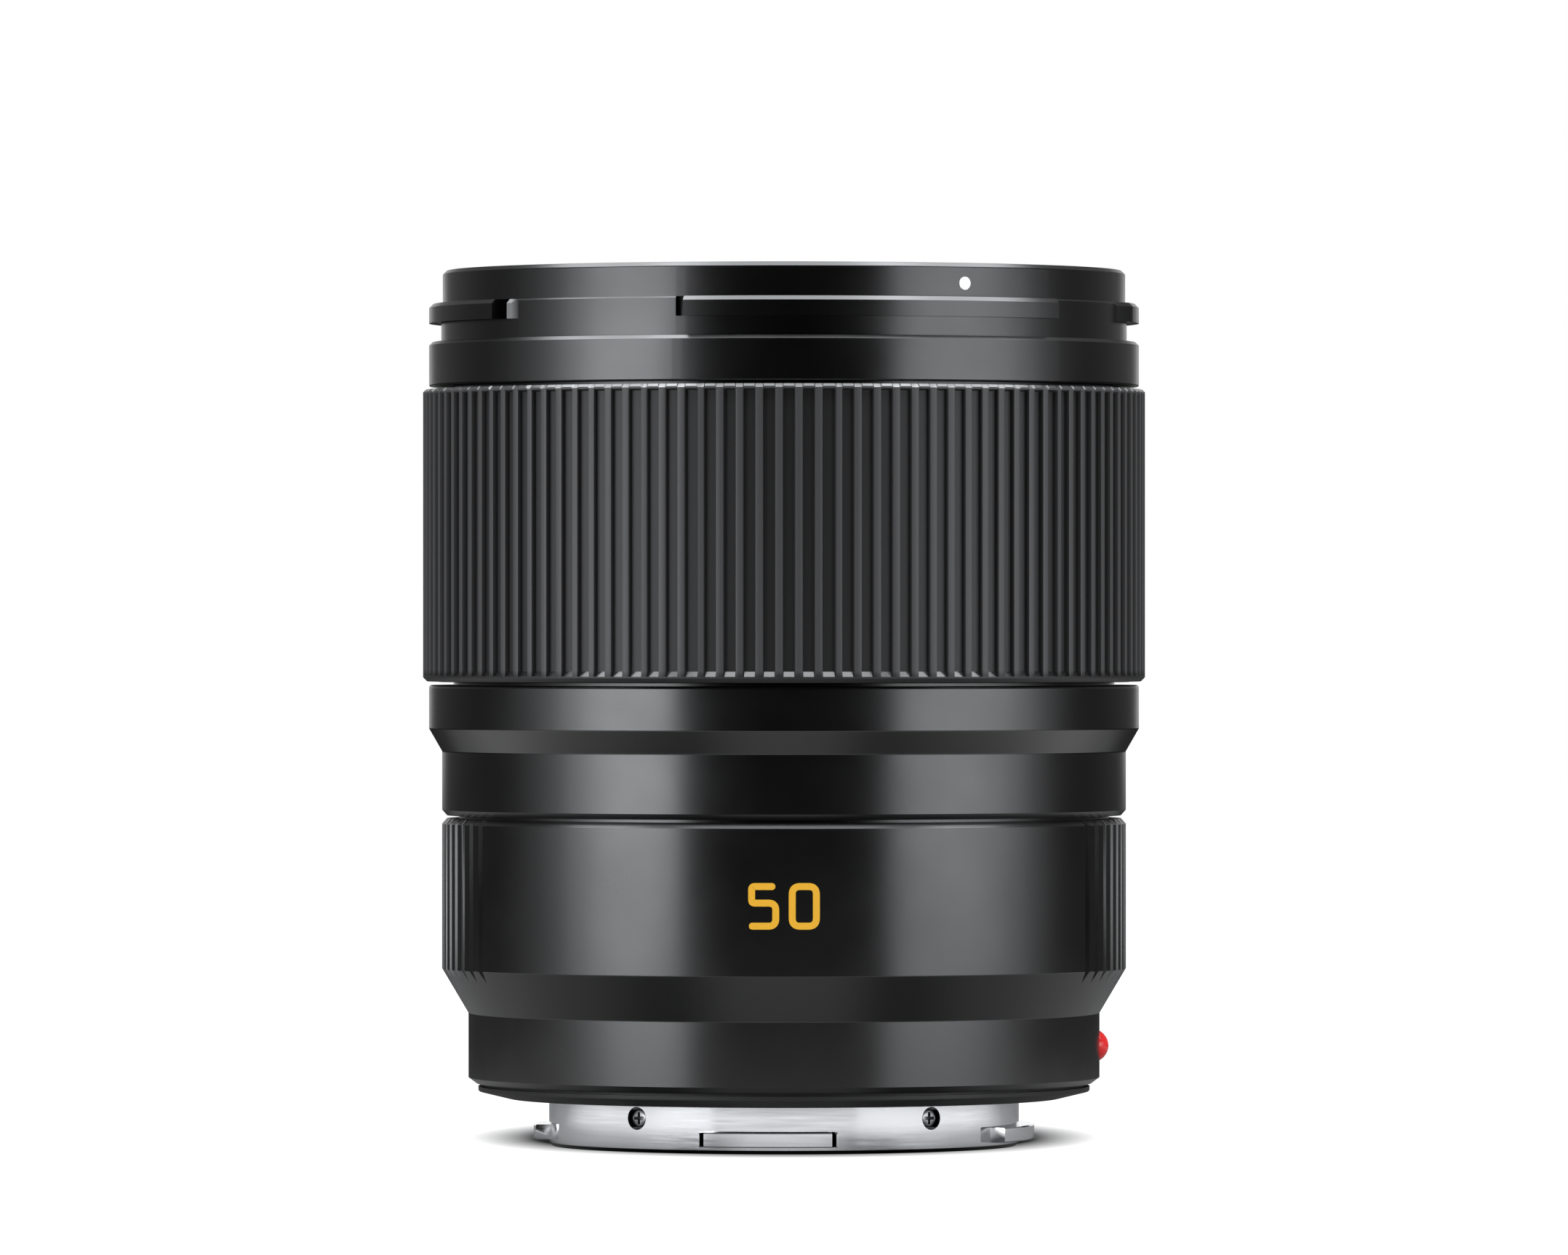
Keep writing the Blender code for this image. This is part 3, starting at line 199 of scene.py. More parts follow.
# Markings
NUMERAL_HEIGHT = 24.87
NUMERAL_OFFSET = 2.0
STROKE = 0.68
MARK_PROUD = 0.03
MARK_DEPTH = 0.1
DOT_ANGLE = 31.2
DOT_HEIGHT = 86.3
DOT_RADIUS = 0.65
DOT_TIP = 0.01
PATH_STEP = 0.12


def along(angle):
    """Unit direction at an azimuth: 0 points at the camera and 90 along +X."""
    turn = math.radians(angle - 90.0)
    return math.cos(turn), math.sin(turn)


@functools.cache
def low_of(node):
    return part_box(node)[0][2] / MM


@functools.cache
def high_of(node):
    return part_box(node)[1][2] / MM


@functools.cache
def radius_of(node):
    return -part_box(node)[0][1] / MM


def rounded(points):
    """Rounds the corners of a closed section given as (radius, height, corner radius)."""
    result = []
    count = len(points)
    for index, (x, z, corner) in enumerate(points):
        here = Vector((x, z))
        if corner <= 0.0:
            result.append(here)
            continue
        before = Vector(points[index - 1][:2]) - here
        after = Vector(points[(index + 1) % count][:2]) - here
        angle = before.angle(after)
        reach = min(corner / math.tan(angle / 2), CORNER_LIMIT * before.length, CORNER_LIMIT * after.length)
        start = here + before.normalized() * reach
        end = here + after.normalized() * reach
        result.append(start + before.normalized() * min(CORNER_PAD, before.length * CORNER_PAD_SHARE))
        for step in range(CORNER_STEPS + 1):
            share = step / CORNER_STEPS
            first = start.lerp(here, share)
            second = here.lerp(end, share)
            result.append(first.lerp(second, share))
        result.append(end + after.normalized() * min(CORNER_PAD, after.length * CORNER_PAD_SHARE))
    return [(p.x, p.y) for p in result]


def new_piece(name, bm):
    bmesh.ops.recalc_face_normals(bm, faces=bm.faces)
    mesh = bpy.data.meshes.new(name)
    bm.to_mesh(mesh)
    bm.free()
    mesh.shade_smooth()
    mesh.set_sharp_from_angle(angle=SHARP_ANGLE)
    piece = bpy.data.objects.new(name, mesh)
    bpy.context.scene.collection.objects.link(piece)
    return piece


def settle(piece, body, slot, material, *nodes):
    """Puts a finished piece on its body, with its finish and the solids that it stands for."""
    piece.data.materials.clear()
    piece.data.materials.append(material)
    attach(piece, body)
    if nodes:
        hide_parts(*nodes)
    return piece


def even_angles(extra=()):
    steps = int(FULL_TURN / COLUMN_STEP)
    angles = {round(step * COLUMN_STEP, 4) for step in range(steps)}
    angles.update(round(angle % FULL_TURN, 4) for angle in extra)
    return sorted(angles)


def swept(name, section, angles):
    """Closed ring whose section (a list of radius and height) may change with the azimuth."""
    bm = bmesh.new()
    columns = []
    for angle in angles:
        x, y = along(angle)
        columns.append([bm.verts.new((r * x * MM, r * y * MM, z * MM)) for r, z in section(angle)])
    for index, column in enumerate(columns):
        following = columns[(index + 1) % len(columns)]
        for row in range(len(column)):
            above = (row + 1) % len(column)
            bm.faces.new((column[row], following[row], following[above], column[above]))
    return new_piece(name, bm)


def turned(name, points):
    section = rounded(points)
    return swept(name, lambda angle: section, even_angles())


def table_value(table, angle):
    """Value at an azimuth from rows of (azimuth, value); zero outside the rows."""
    for (start, first), (end, second) in zip(table, table[1:]):
        offset = (angle - start) % FULL_TURN
        if offset <= end - start:
            return first + (second - first) * offset / (end - start)
    return 0.0


def lug_share(angle):
    return sum(table_value(table, angle) for table in LUGS)


def thread_points():
    """Filter thread inside the rim, from the lowest turn up."""
    top = high_of("front_barrel") - FILTER_LEAD
    points = []
    for turn in range(THREAD_TURNS):
        start = top - (THREAD_TURNS - turn) * THREAD_PITCH
        points.append((FILTER_BORE, start, 0.0))
        points.append((FILTER_BORE + THREAD_DEPTH, start + THREAD_PITCH / 2, 0.0))
    return points


def front_section(angle):
    top = high_of("front_barrel")
    low = low_of("front_barrel")
    band = radius_of("front_barrel")
    lug = NECK_RADIUS + (lug_share(angle) or FLAT_SHARE) * (band - NECK_RADIUS)
    chamfer = max(min(LUG_CHAMFER, lug - RIM_RADIUS), FLAT_SHARE)
    return rounded([
        (FILTER_BORE + FILTER_LEAD, top, FINE_ROUND),
        (RIM_RADIUS - RIM_CHAMFER, top, RIM_ROUND),
        (RIM_RADIUS, top - RIM_CHAMFER, RIM_ROUND),
        (RIM_RADIUS, LUG_HIGH, 0.0),
        (lug - chamfer, LUG_HIGH, 0.0),
        (lug, LUG_HIGH - chamfer, 0.0),
        (lug, LUG_LOW, 0.0),
        (NECK_RADIUS, LUG_LOW, 0.0),
        (NECK_RADIUS, BAND_HIGH, 0.0),
        (band - BAND_CHAMFER, BAND_HIGH, 0.0),
        (band, BAND_HIGH - BAND_CHAMFER, 0.0),
        (band, low, EDGE_ROUND),
        (BAND_BORE, low, 0.0),
        (BAND_BORE, SHELF_LOW, 0.0),
        (SHELF_BORE, SHELF_LOW, 0.0),
        (SHELF_BORE, SHELF_HIGH, SMALL_ROUND),
        (FILTER_BORE, SHELF_HIGH, 0.0),
        *thread_points(),
        (FILTER_BORE, top - FILTER_LEAD, 0.0),
    ])


def rib_angles():
    pitch = FULL_TURN / RIB_COUNT
    return [RIB_PHASE + (rib + share) * pitch for rib in range(RIB_COUNT) for share, height in RIB_COLUMNS]


def grip_section(angle):
    """Foot, ledge, groove or rib, and a bevelled top that reaches further down on the ribs."""
    low = low_of("focus_grip")
    high = high_of("focus_grip")
    crest = radius_of("focus_grip")
    pitch = FULL_TURN / RIB_COUNT
    place = ((angle - RIB_PHASE) / pitch - RIB_COLUMNS[0][0]) % 1.0 + RIB_COLUMNS[0][0]
    height = min(RIB_COLUMNS, key=lambda column: abs(column[0] - place))[1]
    depth = RIB_HEIGHT * (1.0 - height)
    head = GRIP_HEAD + (RIB_HEAD - GRIP_HEAD) * height
    bevel = GRIP_BEVEL + (RIB_BEVEL - GRIP_BEVEL) * height
    return rounded([
        (GRIP_BORE, low, 0.0),
        (crest - GRIP_EDGE, low, GRIP_ROUND),
        (crest, low + GRIP_EDGE, GRIP_ROUND),
        (crest, low + GRIP_FOOT, 0.0),
        (crest - depth * LEDGE_INSET, low + GRIP_FOOT, 0.0),
        (crest - depth, low + GRIP_FOOT + LEDGE_HEIGHT, 0.0),
        (crest - depth, high - GRIP_HEAD - GRIP_HEAD_SLOPE, 0.0),
        (crest, high - head, 0.0),
        (crest, high - bevel, 0.0),
        (crest - bevel, high, 0.0),
        (GRIP_BORE, high, 0.0),
    ])


def flute_depth(angle):
    half = math.degrees(FLUTE_WIDTH / 2 / radius_of("rear_barrel"))
    for centre in FLUTE_CENTRES:
        offset = (angle - centre + FULL_TURN / 2) % FULL_TURN - FULL_TURN / 2
        step = round(offset / FLUTE_PITCH)
        if abs(step) <= (FLUTE_COUNT - 1) / 2:
            share = 1.0 - abs(offset - step * FLUTE_PITCH) / half
            return FLUTE_DEPTH * max(share, 0.0)
    return 0.0


def flute_angles():
    half = math.degrees(FLUTE_WIDTH / 2 / radius_of("rear_barrel"))
    angles = []
    for centre in FLUTE_CENTRES:
        for step in range(FLUTE_COUNT):
            middle = centre + (step - (FLUTE_COUNT - 1) / 2) * FLUTE_PITCH
            angles += [middle - half, middle, middle + half]
    return angles


def rear_section(angle):
    outer = radius_of("rear_barrel")
    low = low_of("rear_barrel") + REAR_LIFT
    high = high_of("rear_barrel")
    depth = flute_depth(angle)
    slope = (TAPER_HIGH - MOUNT_HIGH) / (outer - MOUNT_RADIUS)
    root = outer - depth
    return rounded([
        (min(outer - GROOVE_DEPTH, root), high, 0.0),
        (root, GROOVE_LOW, 0.0),
        (root, TAPER_HIGH - depth * slope, EDGE_ROUND),
        (MOUNT_RADIUS, MOUNT_HIGH, EDGE_ROUND),
        (MOUNT_RADIUS, MOUNT_LOW, 0.0),
        (MOUNT_RADIUS - MOUNT_CHAMFER, low, 0.0),
        (BAYONET_NECK + NECK_GAP, low, 0.0),
        (BAYONET_NECK + NECK_GAP, REAR_FLOOR, 0.0),
        (REAR_BORE, REAR_FLOOR, 0.0),
        (REAR_BORE, BOARD_SEAT, 0.0),
        (BOARD_BORE, BOARD_SEAT, 0.0),
        (BOARD_BORE, RECESS_LOW, 0.0),
        (SPIGOT_RECESS, RECESS_LOW, 0.0),
        (SPIGOT_RECESS, high, 0.0),
    ])


def claw_table():
    rows = []
    for start, end, slot in CLAWS:
        first = start + CLAW_LIP
        last = end - CLAW_LIP
        rows.append((
            (start - CLAW_RAMP, 0.0),
            (start, 1.0),
            (first, 1.0),
            (first + CLAW_SLOT / 2, slot),
            (first + CLAW_SLOT, 1.0),
            (last - CLAW_SLOT, 1.0),
            (last - CLAW_SLOT / 2, slot),
            (last, 1.0),
            (end, 1.0),
            (end + CLAW_RAMP, 0.0),
        ))
    return rows


def bayonet_section(angle):
    share = sum(table_value(table, angle) for table in claw_table())
    claw = BAYONET_NECK + (share or FLAT_SHARE) * (CLAW_RADIUS - BAYONET_NECK)
    edge = CLAW_EDGE * max(share, 0.0)
    high = high_of("bayonet_mount")
    flange = radius_of("bayonet_mount")
    return rounded([
        (BAYONET_NECK, high, 0.0),
        (BAYONET_NECK, FLANGE_HIGH, 0.0),
        (flange, FLANGE_HIGH, 0.0),
        (flange, FLANGE_LOW, SMALL_ROUND),
        (BAYONET_NECK, FLANGE_LOW, SMALL_ROUND),
        (BAYONET_NECK, CLAW_HIGH, 0.0),
        (claw - edge, CLAW_HIGH, 0.0),
        (claw, CLAW_HIGH - edge, 0.0),
        (claw, CLAW_LOW + edge, 0.0),
        (claw - edge, CLAW_LOW, 0.0),
        (BAYONET_NECK, CLAW_LOW, 0.0),
        (BAYONET_NECK, BAYONET_FOOT, 0.0),
        (BAYONET_NECK - BAYONET_FOOT, 0.0, 0.0),
        (BAYONET_BORE, 0.0, SMALL_ROUND),
        (BAYONET_BORE, BAYONET_LEDGE, 0.0),
        (BAYONET_LIP, BAYONET_LEDGE, 0.0),
        (BAYONET_LIP, high, 0.0),
    ])


def radial_turned(name, points, angle, height):
    """Solid turned about a radius of the lens: points are (radius from that line, distance from the axis)."""
    out = Vector((*along(angle), 0.0))
    side = Vector((-out.y, out.x, 0.0))
    up = Vector((0.0, 0.0, 1.0))
    bm = bmesh.new()
    rings = []
    for radius, reach in points:
        middle = out * reach + up * height
        if radius == 0.0:
            rings.append([bm.verts.new(middle * MM)])
            continue
        ring = []
        for step in range(ROUND_SIDES):
            turn = math.tau * step / ROUND_SIDES
            spoke = side * math.cos(turn) + up * math.sin(turn)
            ring.append(bm.verts.new((middle + spoke * radius) * MM))
        rings.append(ring)
    join_rings(bm, rings)
    return new_piece(name, bm)


def join_rings(bm, rings):
    """Faces between rings of vertices; a ring of one vertex is a pole."""
    for lower, upper in zip(rings, rings[1:]):
        sides = max(len(lower), len(upper))
        for step in range(sides):
            following = (step + 1) % sides
            corners = [lower[step % len(lower)], lower[following % len(lower)],
                       upper[following % len(upper)], upper[step % len(upper)]]
            bm.faces.new(list(dict.fromkeys(corners)))


def dome_points(radius, foot, rise):
    """Rows of (radius, height) from the edge of a spherical cap to its pole."""
    points = []
    for row in range(DOME_ROWS):
        turn = math.pi / 2 * row / DOME_ROWS
        points.append((radius * math.cos(turn), foot + rise * math.sin(turn)))
    points.append((0.0, foot + rise))
    return points


def subtract(piece, cutters):
    """Cuts the cutters from a piece and removes them."""
    for cutter in cutters:
        cutting = piece.modifiers.new(cutter.name, "BOOLEAN")
        cutting.object = cutter
        cutting.solver = "EXACT"
    bpy.context.view_layer.update()
    evaluated = piece.evaluated_get(bpy.context.evaluated_depsgraph_get())
    mesh = bpy.data.meshes.new_from_object(evaluated)
    piece.modifiers.clear()
    piece.data = mesh
    mesh.set_sharp_from_angle(angle=SHARP_ANGLE)
    for cutter in cutters:
        bpy.data.objects.remove(cutter)
    return piece


def bar(name, angle, height, near, far, width, tall):
    """Box along a radius, from one distance to another."""
    out = Vector((*along(angle), 0.0))
    side = Vector((-out.y, out.x, 0.0))
    up = Vector((0.0, 0.0, 1.0))
    bm = bmesh.new()
    rings = []
    for reach in (near, far):
        middle = out * reach + up * height
        ring = []
        for across, rise in ((-1, -1), (1, -1), (1, 1), (-1, 1)):
            ring.append(bm.verts.new((middle + side * across * width / 2 + up * rise * tall / 2) * MM))
        rings.append(ring)
    join_rings(bm, rings)
    bm.faces.new(rings[0])
    bm.faces.new(rings[1])
    return new_piece(name, bm)


def screw(name, angle):
    """Cross-head screw, seen end on in the bayonet neck."""
    face = BAYONET_NECK - SCREW_SINK
    foot = BAYONET_NECK - SCREW_LENGTH
    head = radial_turned(name, [(0.0, foot), (SCREW_RADIUS, foot), (SCREW_RADIUS, face - SCREW_ROUND),
                                (SCREW_RADIUS - SCREW_ROUND / 3, face - SCREW_ROUND / 3),
                                (SCREW_RADIUS - SCREW_ROUND, face), (0.0, face)], angle, SCREW_HEIGHT)
    slots = []
    for width, tall in ((CROSS_LENGTH, CROSS_WIDTH), (CROSS_WIDTH, CROSS_LENGTH)):
        slots.append(bar(f"{name}_slot_{tall}", angle, SCREW_HEIGHT, face - CROSS_DEPTH, face + OVERCUT,
                         width, tall))
    return subtract(head, slots)


def bayonet():
    edges = [angle for table in claw_table() for angle, share in table]
    piece = swept("bayonet_steel", bayonet_section, even_angles(edges))
    holes = []
    for angle in SCREW_ANGLES:
        near = BAYONET_NECK - SCREW_LENGTH - HOLE_ROOM
        far = BAYONET_NECK + OVERCUT
        points = [(0.0, near), (SCREW_HOLE, near), (SCREW_HOLE, far), (0.0, far)]
        holes.append(radial_turned(f"screw_hole_{angle}", points, angle, SCREW_HEIGHT))
    return subtract(piece, holes)


def wrapped_strip(name, pairs, closed, radius, centre_angle, height):
    """Thin inlay on a barrel, from pairs of left and right edge points in millimetres round and up."""
    bm = bmesh.new()
    stations = []
    for left, right in pairs:
        station = []
        for (across, rise), reach in ((left, MARK_PROUD), (right, MARK_PROUD), (right, -MARK_DEPTH),
                                      (left, -MARK_DEPTH)):
            x, y = along(centre_angle + math.degrees(across / radius))
            station.append(bm.verts.new((x * (radius + reach) * MM, y * (radius + reach) * MM,
                                         (height + rise) * MM)))
        stations.append(station)
    rows = stations + stations[:1] if closed else stations
    join_rings(bm, rows)
    if not closed:
        bm.faces.new(stations[0])
        bm.faces.new(stations[-1])
    return new_piece(name, bm)


def stroke_pairs(path, width, closed):
    """Left and right edges of a stroke of even width along a path."""
    pairs = []
    count = len(path)
    for index in range(count):
        before = path[index - 1] if closed or index else path[index]
        after = path[(index + 1) % count] if closed or index < count - 1 else path[index]
        heading = (Vector(after) - Vector(before)).normalized()
        side = Vector((-heading.y, heading.x)) * width / 2
        here = Vector(path[index])
        pairs.append((here + side, here - side))
    return pairs if closed else round_end(round_end(pairs[::-1])[::-1])


def round_end(pairs):
    """Adds a half-round cap after the last station of a stroke."""
    left, right = pairs[-1]
    middle = (left + right) / 2
    side = (left - right) / 2
    onward = middle - (pairs[-2][0] + pairs[-2][1]) / 2
    onward = onward.normalized() * side.length
    caps = []
    for step in range(1, CORNER_STEPS * 2):
        turn = math.pi / 2 * step / (CORNER_STEPS * 2)
        centre = middle + onward * math.sin(turn)
        caps.append((centre + side * math.cos(turn), centre - side * math.cos(turn)))
    return pairs + caps


def rounded_path(corners, closed):
    """Path through (across, rise, corner radius), sampled finely enough to bend round a barrel."""
    path = []
    count = len(corners)
    for index, (x, z, radius) in enumerate(corners):
        here = Vector((x, z))
        if not closed and index in (0, count - 1):
            path.append(here)
            continue
        before = (Vector(corners[index - 1][:2]) - here).normalized()
        after = (Vector(corners[(index + 1) % count][:2]) - here).normalized()
        start = here + before * radius
        end = here + after * radius
        for arc in range(CORNER_STEPS * 2 + 1):
            share = arc / (CORNER_STEPS * 2)
            path.append(start.lerp(here, share).lerp(here.lerp(end, share), share))
    fine = []
    pairs = list(zip(path, path[1:] + path[:1] if closed else path[1:]))
    for first, second in pairs:
        pieces = max(1, int((second - first).length / PATH_STEP))
        fine += [first.lerp(second, part / pieces) for part in range(pieces)]
    if not closed:
        fine.append(path[-1])
    return fine


# Strokes of the numerals as (across, rise, corner radius)
FIVE = ((0.81, 1.95, 0.0), (-1.19, 1.95, 0.32), (-1.19, 0.32, 0.32), (1.19, 0.32, 0.72), (1.19, -1.95, 0.72),
        (-1.12, -1.95, 0.0))
NOUGHT = ((1.19, 1.95, 0.78), (1.19, -1.95, 0.78), (-1.19, -1.95, 0.78), (-1.19, 1.95, 0.78))


def numerals(material):
    radius = radius_of("rear_barrel")
    for name, corners, closed, offset in (("numeral_five", FIVE, False, -NUMERAL_OFFSET),
                                          ("numeral_nought", NOUGHT, True, NUMERAL_OFFSET)):
        pairs = stroke_pairs(rounded_path(corners, closed), STROKE, closed)
        centre = math.degrees(offset / radius)
        settle(wrapped_strip(name, pairs, closed, radius, centre, NUMERAL_HEIGHT), "lens_body",
               "anodised_black", material)


def index_dot(material):
    pairs = []
    for step in range(ROUND_SIDES // 2 + 1):
        turn = math.pi * step / (ROUND_SIDES // 2)
        across = -DOT_RADIUS * math.cos(turn)
        half = max(DOT_RADIUS * math.sin(turn), DOT_TIP)
        pairs.append(((across, half), (across, -half)))
    settle(wrapped_strip("hood_index_dot", pairs, False, RIM_RADIUS, DOT_ANGLE, DOT_HEIGHT), "lens_body",
           "anodised_black", material)


# Glass: rise of the back and of the face over their edges, in millimetres
GLASS_RISES = {
    "front_element": (0.8, 2.6),
    "second_element": (1.4, 2.2),
    "third_element": (2.1, -1.2),
    "focus_element": (-1.0, -1.6),
    "rear_element": (0.8, 1.8),
    "rear_inner_element": (1.2, -1.0),
}
GLASS_ROWS = 14
GLASS_SIDES = 128


def cap_rings(bm, radius, edge, rise):
    """Rings of a spherical lens face, from its edge to its pole."""
    sphere = (radius * radius + rise * rise) / (2 * abs(rise))
    rings = []
    for row in range(GLASS_ROWS):
        ring_radius = radius * (1.0 - row / GLASS_ROWS)
        sag = math.sqrt(sphere * sphere - ring_radius * ring_radius) - (sphere - abs(rise))
        z = edge + math.copysign(sag, rise)
        ring = []
        for step in range(GLASS_SIDES):
            x, y = along(FULL_TURN * step / GLASS_SIDES)
            ring.append(bm.verts.new((x * ring_radius * MM, y * ring_radius * MM, z * MM)))
        rings.append(ring)
    rings.append([bm.verts.new((0.0, 0.0, (edge + rise) * MM))])
    return rings


def lens_element(node):
    back_rise, face_rise = GLASS_RISES[node]
    radius = radius_of(node)
    low_edge = low_of(node) - min(back_rise, 0.0)
    high_edge = high_of(node) - max(face_rise, 0.0)
    bm = bmesh.new()
    back = cap_rings(bm, radius, low_edge, back_rise)
    face = cap_rings(bm, radius, high_edge, face_rise)
    join_rings(bm, back[::-1])
    join_rings(bm, [back[0], face[0]])
    join_rings(bm, face)
    return new_piece(f"{node}_glass", bm)


# Retainer round the front glass: a flat, then steps down to the bore
RETAINER_BORE = 18.9
RETAINER_BORE_TOP = 80.9
RETAINER_STEPS = 7
RETAINER_FLAT = 2.2
RETAINER_SPIGOT = 30.7
RETAINER_GAP = 0.3
RETAINER_ROUND = 0.15
STEP_ROUND = 0.03


def retainer():
    outer = radius_of("front_retainer")
    low = low_of("front_retainer")
    high = high_of("front_retainer")
    run = (outer - RETAINER_FLAT - RETAINER_BORE) / RETAINER_STEPS
    drop = (high - RETAINER_BORE_TOP) / RETAINER_STEPS
    seat = SHELF_HIGH + RETAINER_GAP
    points = [(outer, seat, 0.0), (outer, high, RETAINER_ROUND)]
    for step in range(RETAINER_STEPS):
        edge = outer - RETAINER_FLAT - step * run
        points.append((edge, high - step * drop, STEP_ROUND))
        points.append((edge, high - (step + 1) * drop, STEP_ROUND))
    points += [(RETAINER_BORE, RETAINER_BORE_TOP, FINE_ROUND), (RETAINER_BORE, low, 0.0),
               (RETAINER_SPIGOT, low, 0.0), (RETAINER_SPIGOT, seat, 0.0)]
    return turned("front_retainer_stepped", points)


def contact_pins(material):
    for number in range(1, PIN_COUNT + 1):
        node = f"contact_pin_{number:02d}"
        low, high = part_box(node)
        middle = (Vector(low) + Vector(high)) / 2 / MM
        radius = (high[0] - low[0]) / 2 / MM
        bm = bmesh.new()
        rings = []
        rows = [(0.0, high[2] / MM), (radius, high[2] / MM)]
        dome = radius * PIN_DOME
        rows += [(r, low[2] / MM + dome - rise) for r, rise in dome_points(radius, 0.0, dome)]
        for ring_radius, z in rows:
            if ring_radius == 0.0:
                rings.append([bm.verts.new((middle.x * MM, middle.y * MM, z * MM))])
                continue
            ring = []
            for step in range(ROUND_SIDES // 2):
                turn = math.tau * step / (ROUND_SIDES // 2)
                ring.append(bm.verts.new(((middle.x + ring_radius * math.cos(turn)) * MM,
                                          (middle.y + ring_radius * math.sin(turn)) * MM, z * MM)))
            rings.append(ring)
        join_rings(bm, rings)
        settle(new_piece(f"{node}_domed", bm), "lens_body", "gilt_contact", material, node)


# Finishes: noise scales are per metre, bump heights in metres and film thicknesses in nanometres
NOISE_DETAIL = 3.0
GRAIN_SCALE = 9000.0
GRAIN_PER_CLOUD = 60.0
GRAIN_BUMP = 0.1
GRAIN_HEIGHT = 0.000004
# Grip colours are painted shade and light: near black in the grooves and at the foot, lighter on the rib
# crests
GRIP_SHADED = (0.012, 0.012, 0.0125)
GRIP_CREST_LIT = (0.046, 0.046, 0.047)
GRIP_CREST_LIT_FROM = 0.2
GRIP_CREST_LIT_FULL = 0.95
GRIP_SCALE = 14000.0
GRIP_BUMP_HEIGHT = 0.00001
GRIP_IOR = 1.48
GRIP_ROUGHNESS = (0.5, 0.2)
GRIP_ROUGHNESS_SLOPES = (0.2, 0.45)
GRIP_GLOSS = (0.5, 0.8)
GRIP_GLOSS_SLOPES = (0.2, 0.5)
# Painted shade on the bayonet's foot
FOOT_SHADE_COLOUR = (0.03, 0.03, 0.03)
STEEL_COLOUR = (0.72, 0.73, 0.75)
STEEL_SCALE = 3000.0
STEEL_STRETCH = (0.05, 0.05, 1.0)
STEEL_ROUGHNESS = (0.07, 0.12)
GLASS_IOR = 1.6
GLASS_SCALE = 60.0
GLASS_ROUGHNESS = (0.0, 0.012)
GLASS_TINT = (0.97, 0.98, 0.97)
GLASS_CLEAR = (1.0, 1.0, 1.0)
FILM_IOR = 1.38
FILM_THICKNESS = (95.0, 120.0)
TRACK_SCALE = 400.0
TRACK_COLOURS = {
    "Color1": (0.01, 0.06, 0.03, 1.0),
    "Color2": (0.012, 0.08, 0.04, 1.0),
    "Mortar": (0.05, 0.16, 0.08, 1.0),
}
BOARD_SCALE = 3000.0
BOARD_ROUGHNESS = (0.35, 0.5)


def shader(name):
    """New node material: returns it with its tree and its surface shader."""
    material = bpy.data.materials.new(name)
    material.use_nodes = True
    tree = material.node_tree
    return material, tree, tree.nodes["Principled BSDF"]


def add_noise(tree, scale, stretch=(1.0, 1.0, 1.0)):
    """Noise in the piece's own coordinates; the scale is per metre."""
    place = tree.nodes.new("ShaderNodeTexCoord")
    mapping = tree.nodes.new("ShaderNodeMapping")
    mapping.inputs["Scale"].default_value = stretch
    noise = tree.nodes.new("ShaderNodeTexNoise")
    noise.inputs["Scale"].default_value = scale
    noise.inputs["Detail"].default_value = NOISE_DETAIL
    tree.links.new(place.outputs["Object"], mapping.inputs["Vector"])
    tree.links.new(mapping.outputs["Vector"], noise.inputs["Vector"])
    return noise.outputs["Fac"]


def add_ramp(tree, source, first, second, low=0.35, high=0.65):
    ramp = tree.nodes.new("ShaderNodeValToRGB")
    ramp.color_ramp.elements[0].position = low
    ramp.color_ramp.elements[0].color = (*first, 1.0)
    ramp.color_ramp.elements[1].position = high
    ramp.color_ramp.elements[1].color = (*second, 1.0)
    tree.links.new(source, ramp.inputs["Fac"])
    return ramp.outputs["Color"]


def add_range(tree, source, low, high, source_low=0.3, source_high=0.7):
    mapped = tree.nodes.new("ShaderNodeMapRange")
    mapped.inputs["From Min"].default_value = source_low
    mapped.inputs["From Max"].default_value = source_high
    mapped.inputs["To Min"].default_value = low
    mapped.inputs["To Max"].default_value = high
    tree.links.new(source, mapped.inputs["Value"])
    return mapped.outputs["Result"]


def add_reach(tree, centre=(0.0, 0.0, 0.0), shape=(1.0, 1.0, 0.0)):
    """Distance in metres from the lens axis, or from another centre with each axis scaled."""
    place = tree.nodes.new("ShaderNodeTexCoord")
    moved = tree.nodes.new("ShaderNodeVectorMath")
    moved.operation = "SUBTRACT"
    moved.inputs[1].default_value = centre
    scaled = tree.nodes.new("ShaderNodeVectorMath")
    scaled.operation = "MULTIPLY"
    scaled.inputs[1].default_value = shape
    length = tree.nodes.new("ShaderNodeVectorMath")
    length.operation = "LENGTH"
    tree.links.new(place.outputs["Object"], moved.inputs[0])
    tree.links.new(moved.outputs["Vector"], scaled.inputs[0])
    tree.links.new(scaled.outputs["Vector"], length.inputs[0])
    return length.outputs["Value"]


def add_bump(tree, surface, source, distance):
    bump = tree.nodes.new("ShaderNodeBump")
    bump.inputs["Strength"].default_value = GRAIN_BUMP
    bump.inputs["Distance"].default_value = distance
    tree.links.new(source, bump.inputs["Height"])
    tree.links.new(bump.outputs["Normal"], surface.inputs["Normal"])


def finish(name, first, second, rough, metallic=0.0, ior=1.5):
    """Speckled finish: colour and roughness wander with a fine grain."""
    material, tree, surface = shader(name)
    grain = add_noise(tree, GRAIN_SCALE)
    cloud = add_noise(tree, GRAIN_SCALE / GRAIN_PER_CLOUD)
    tree.links.new(add_ramp(tree, grain, first, second), surface.inputs["Base Color"])
    tree.links.new(add_range(tree, cloud, *rough), surface.inputs["Roughness"])
    surface.inputs["Metallic"].default_value = metallic
    surface.inputs["IOR"].default_value = ior
    add_bump(tree, surface, grain, GRAIN_HEIGHT)
    return material


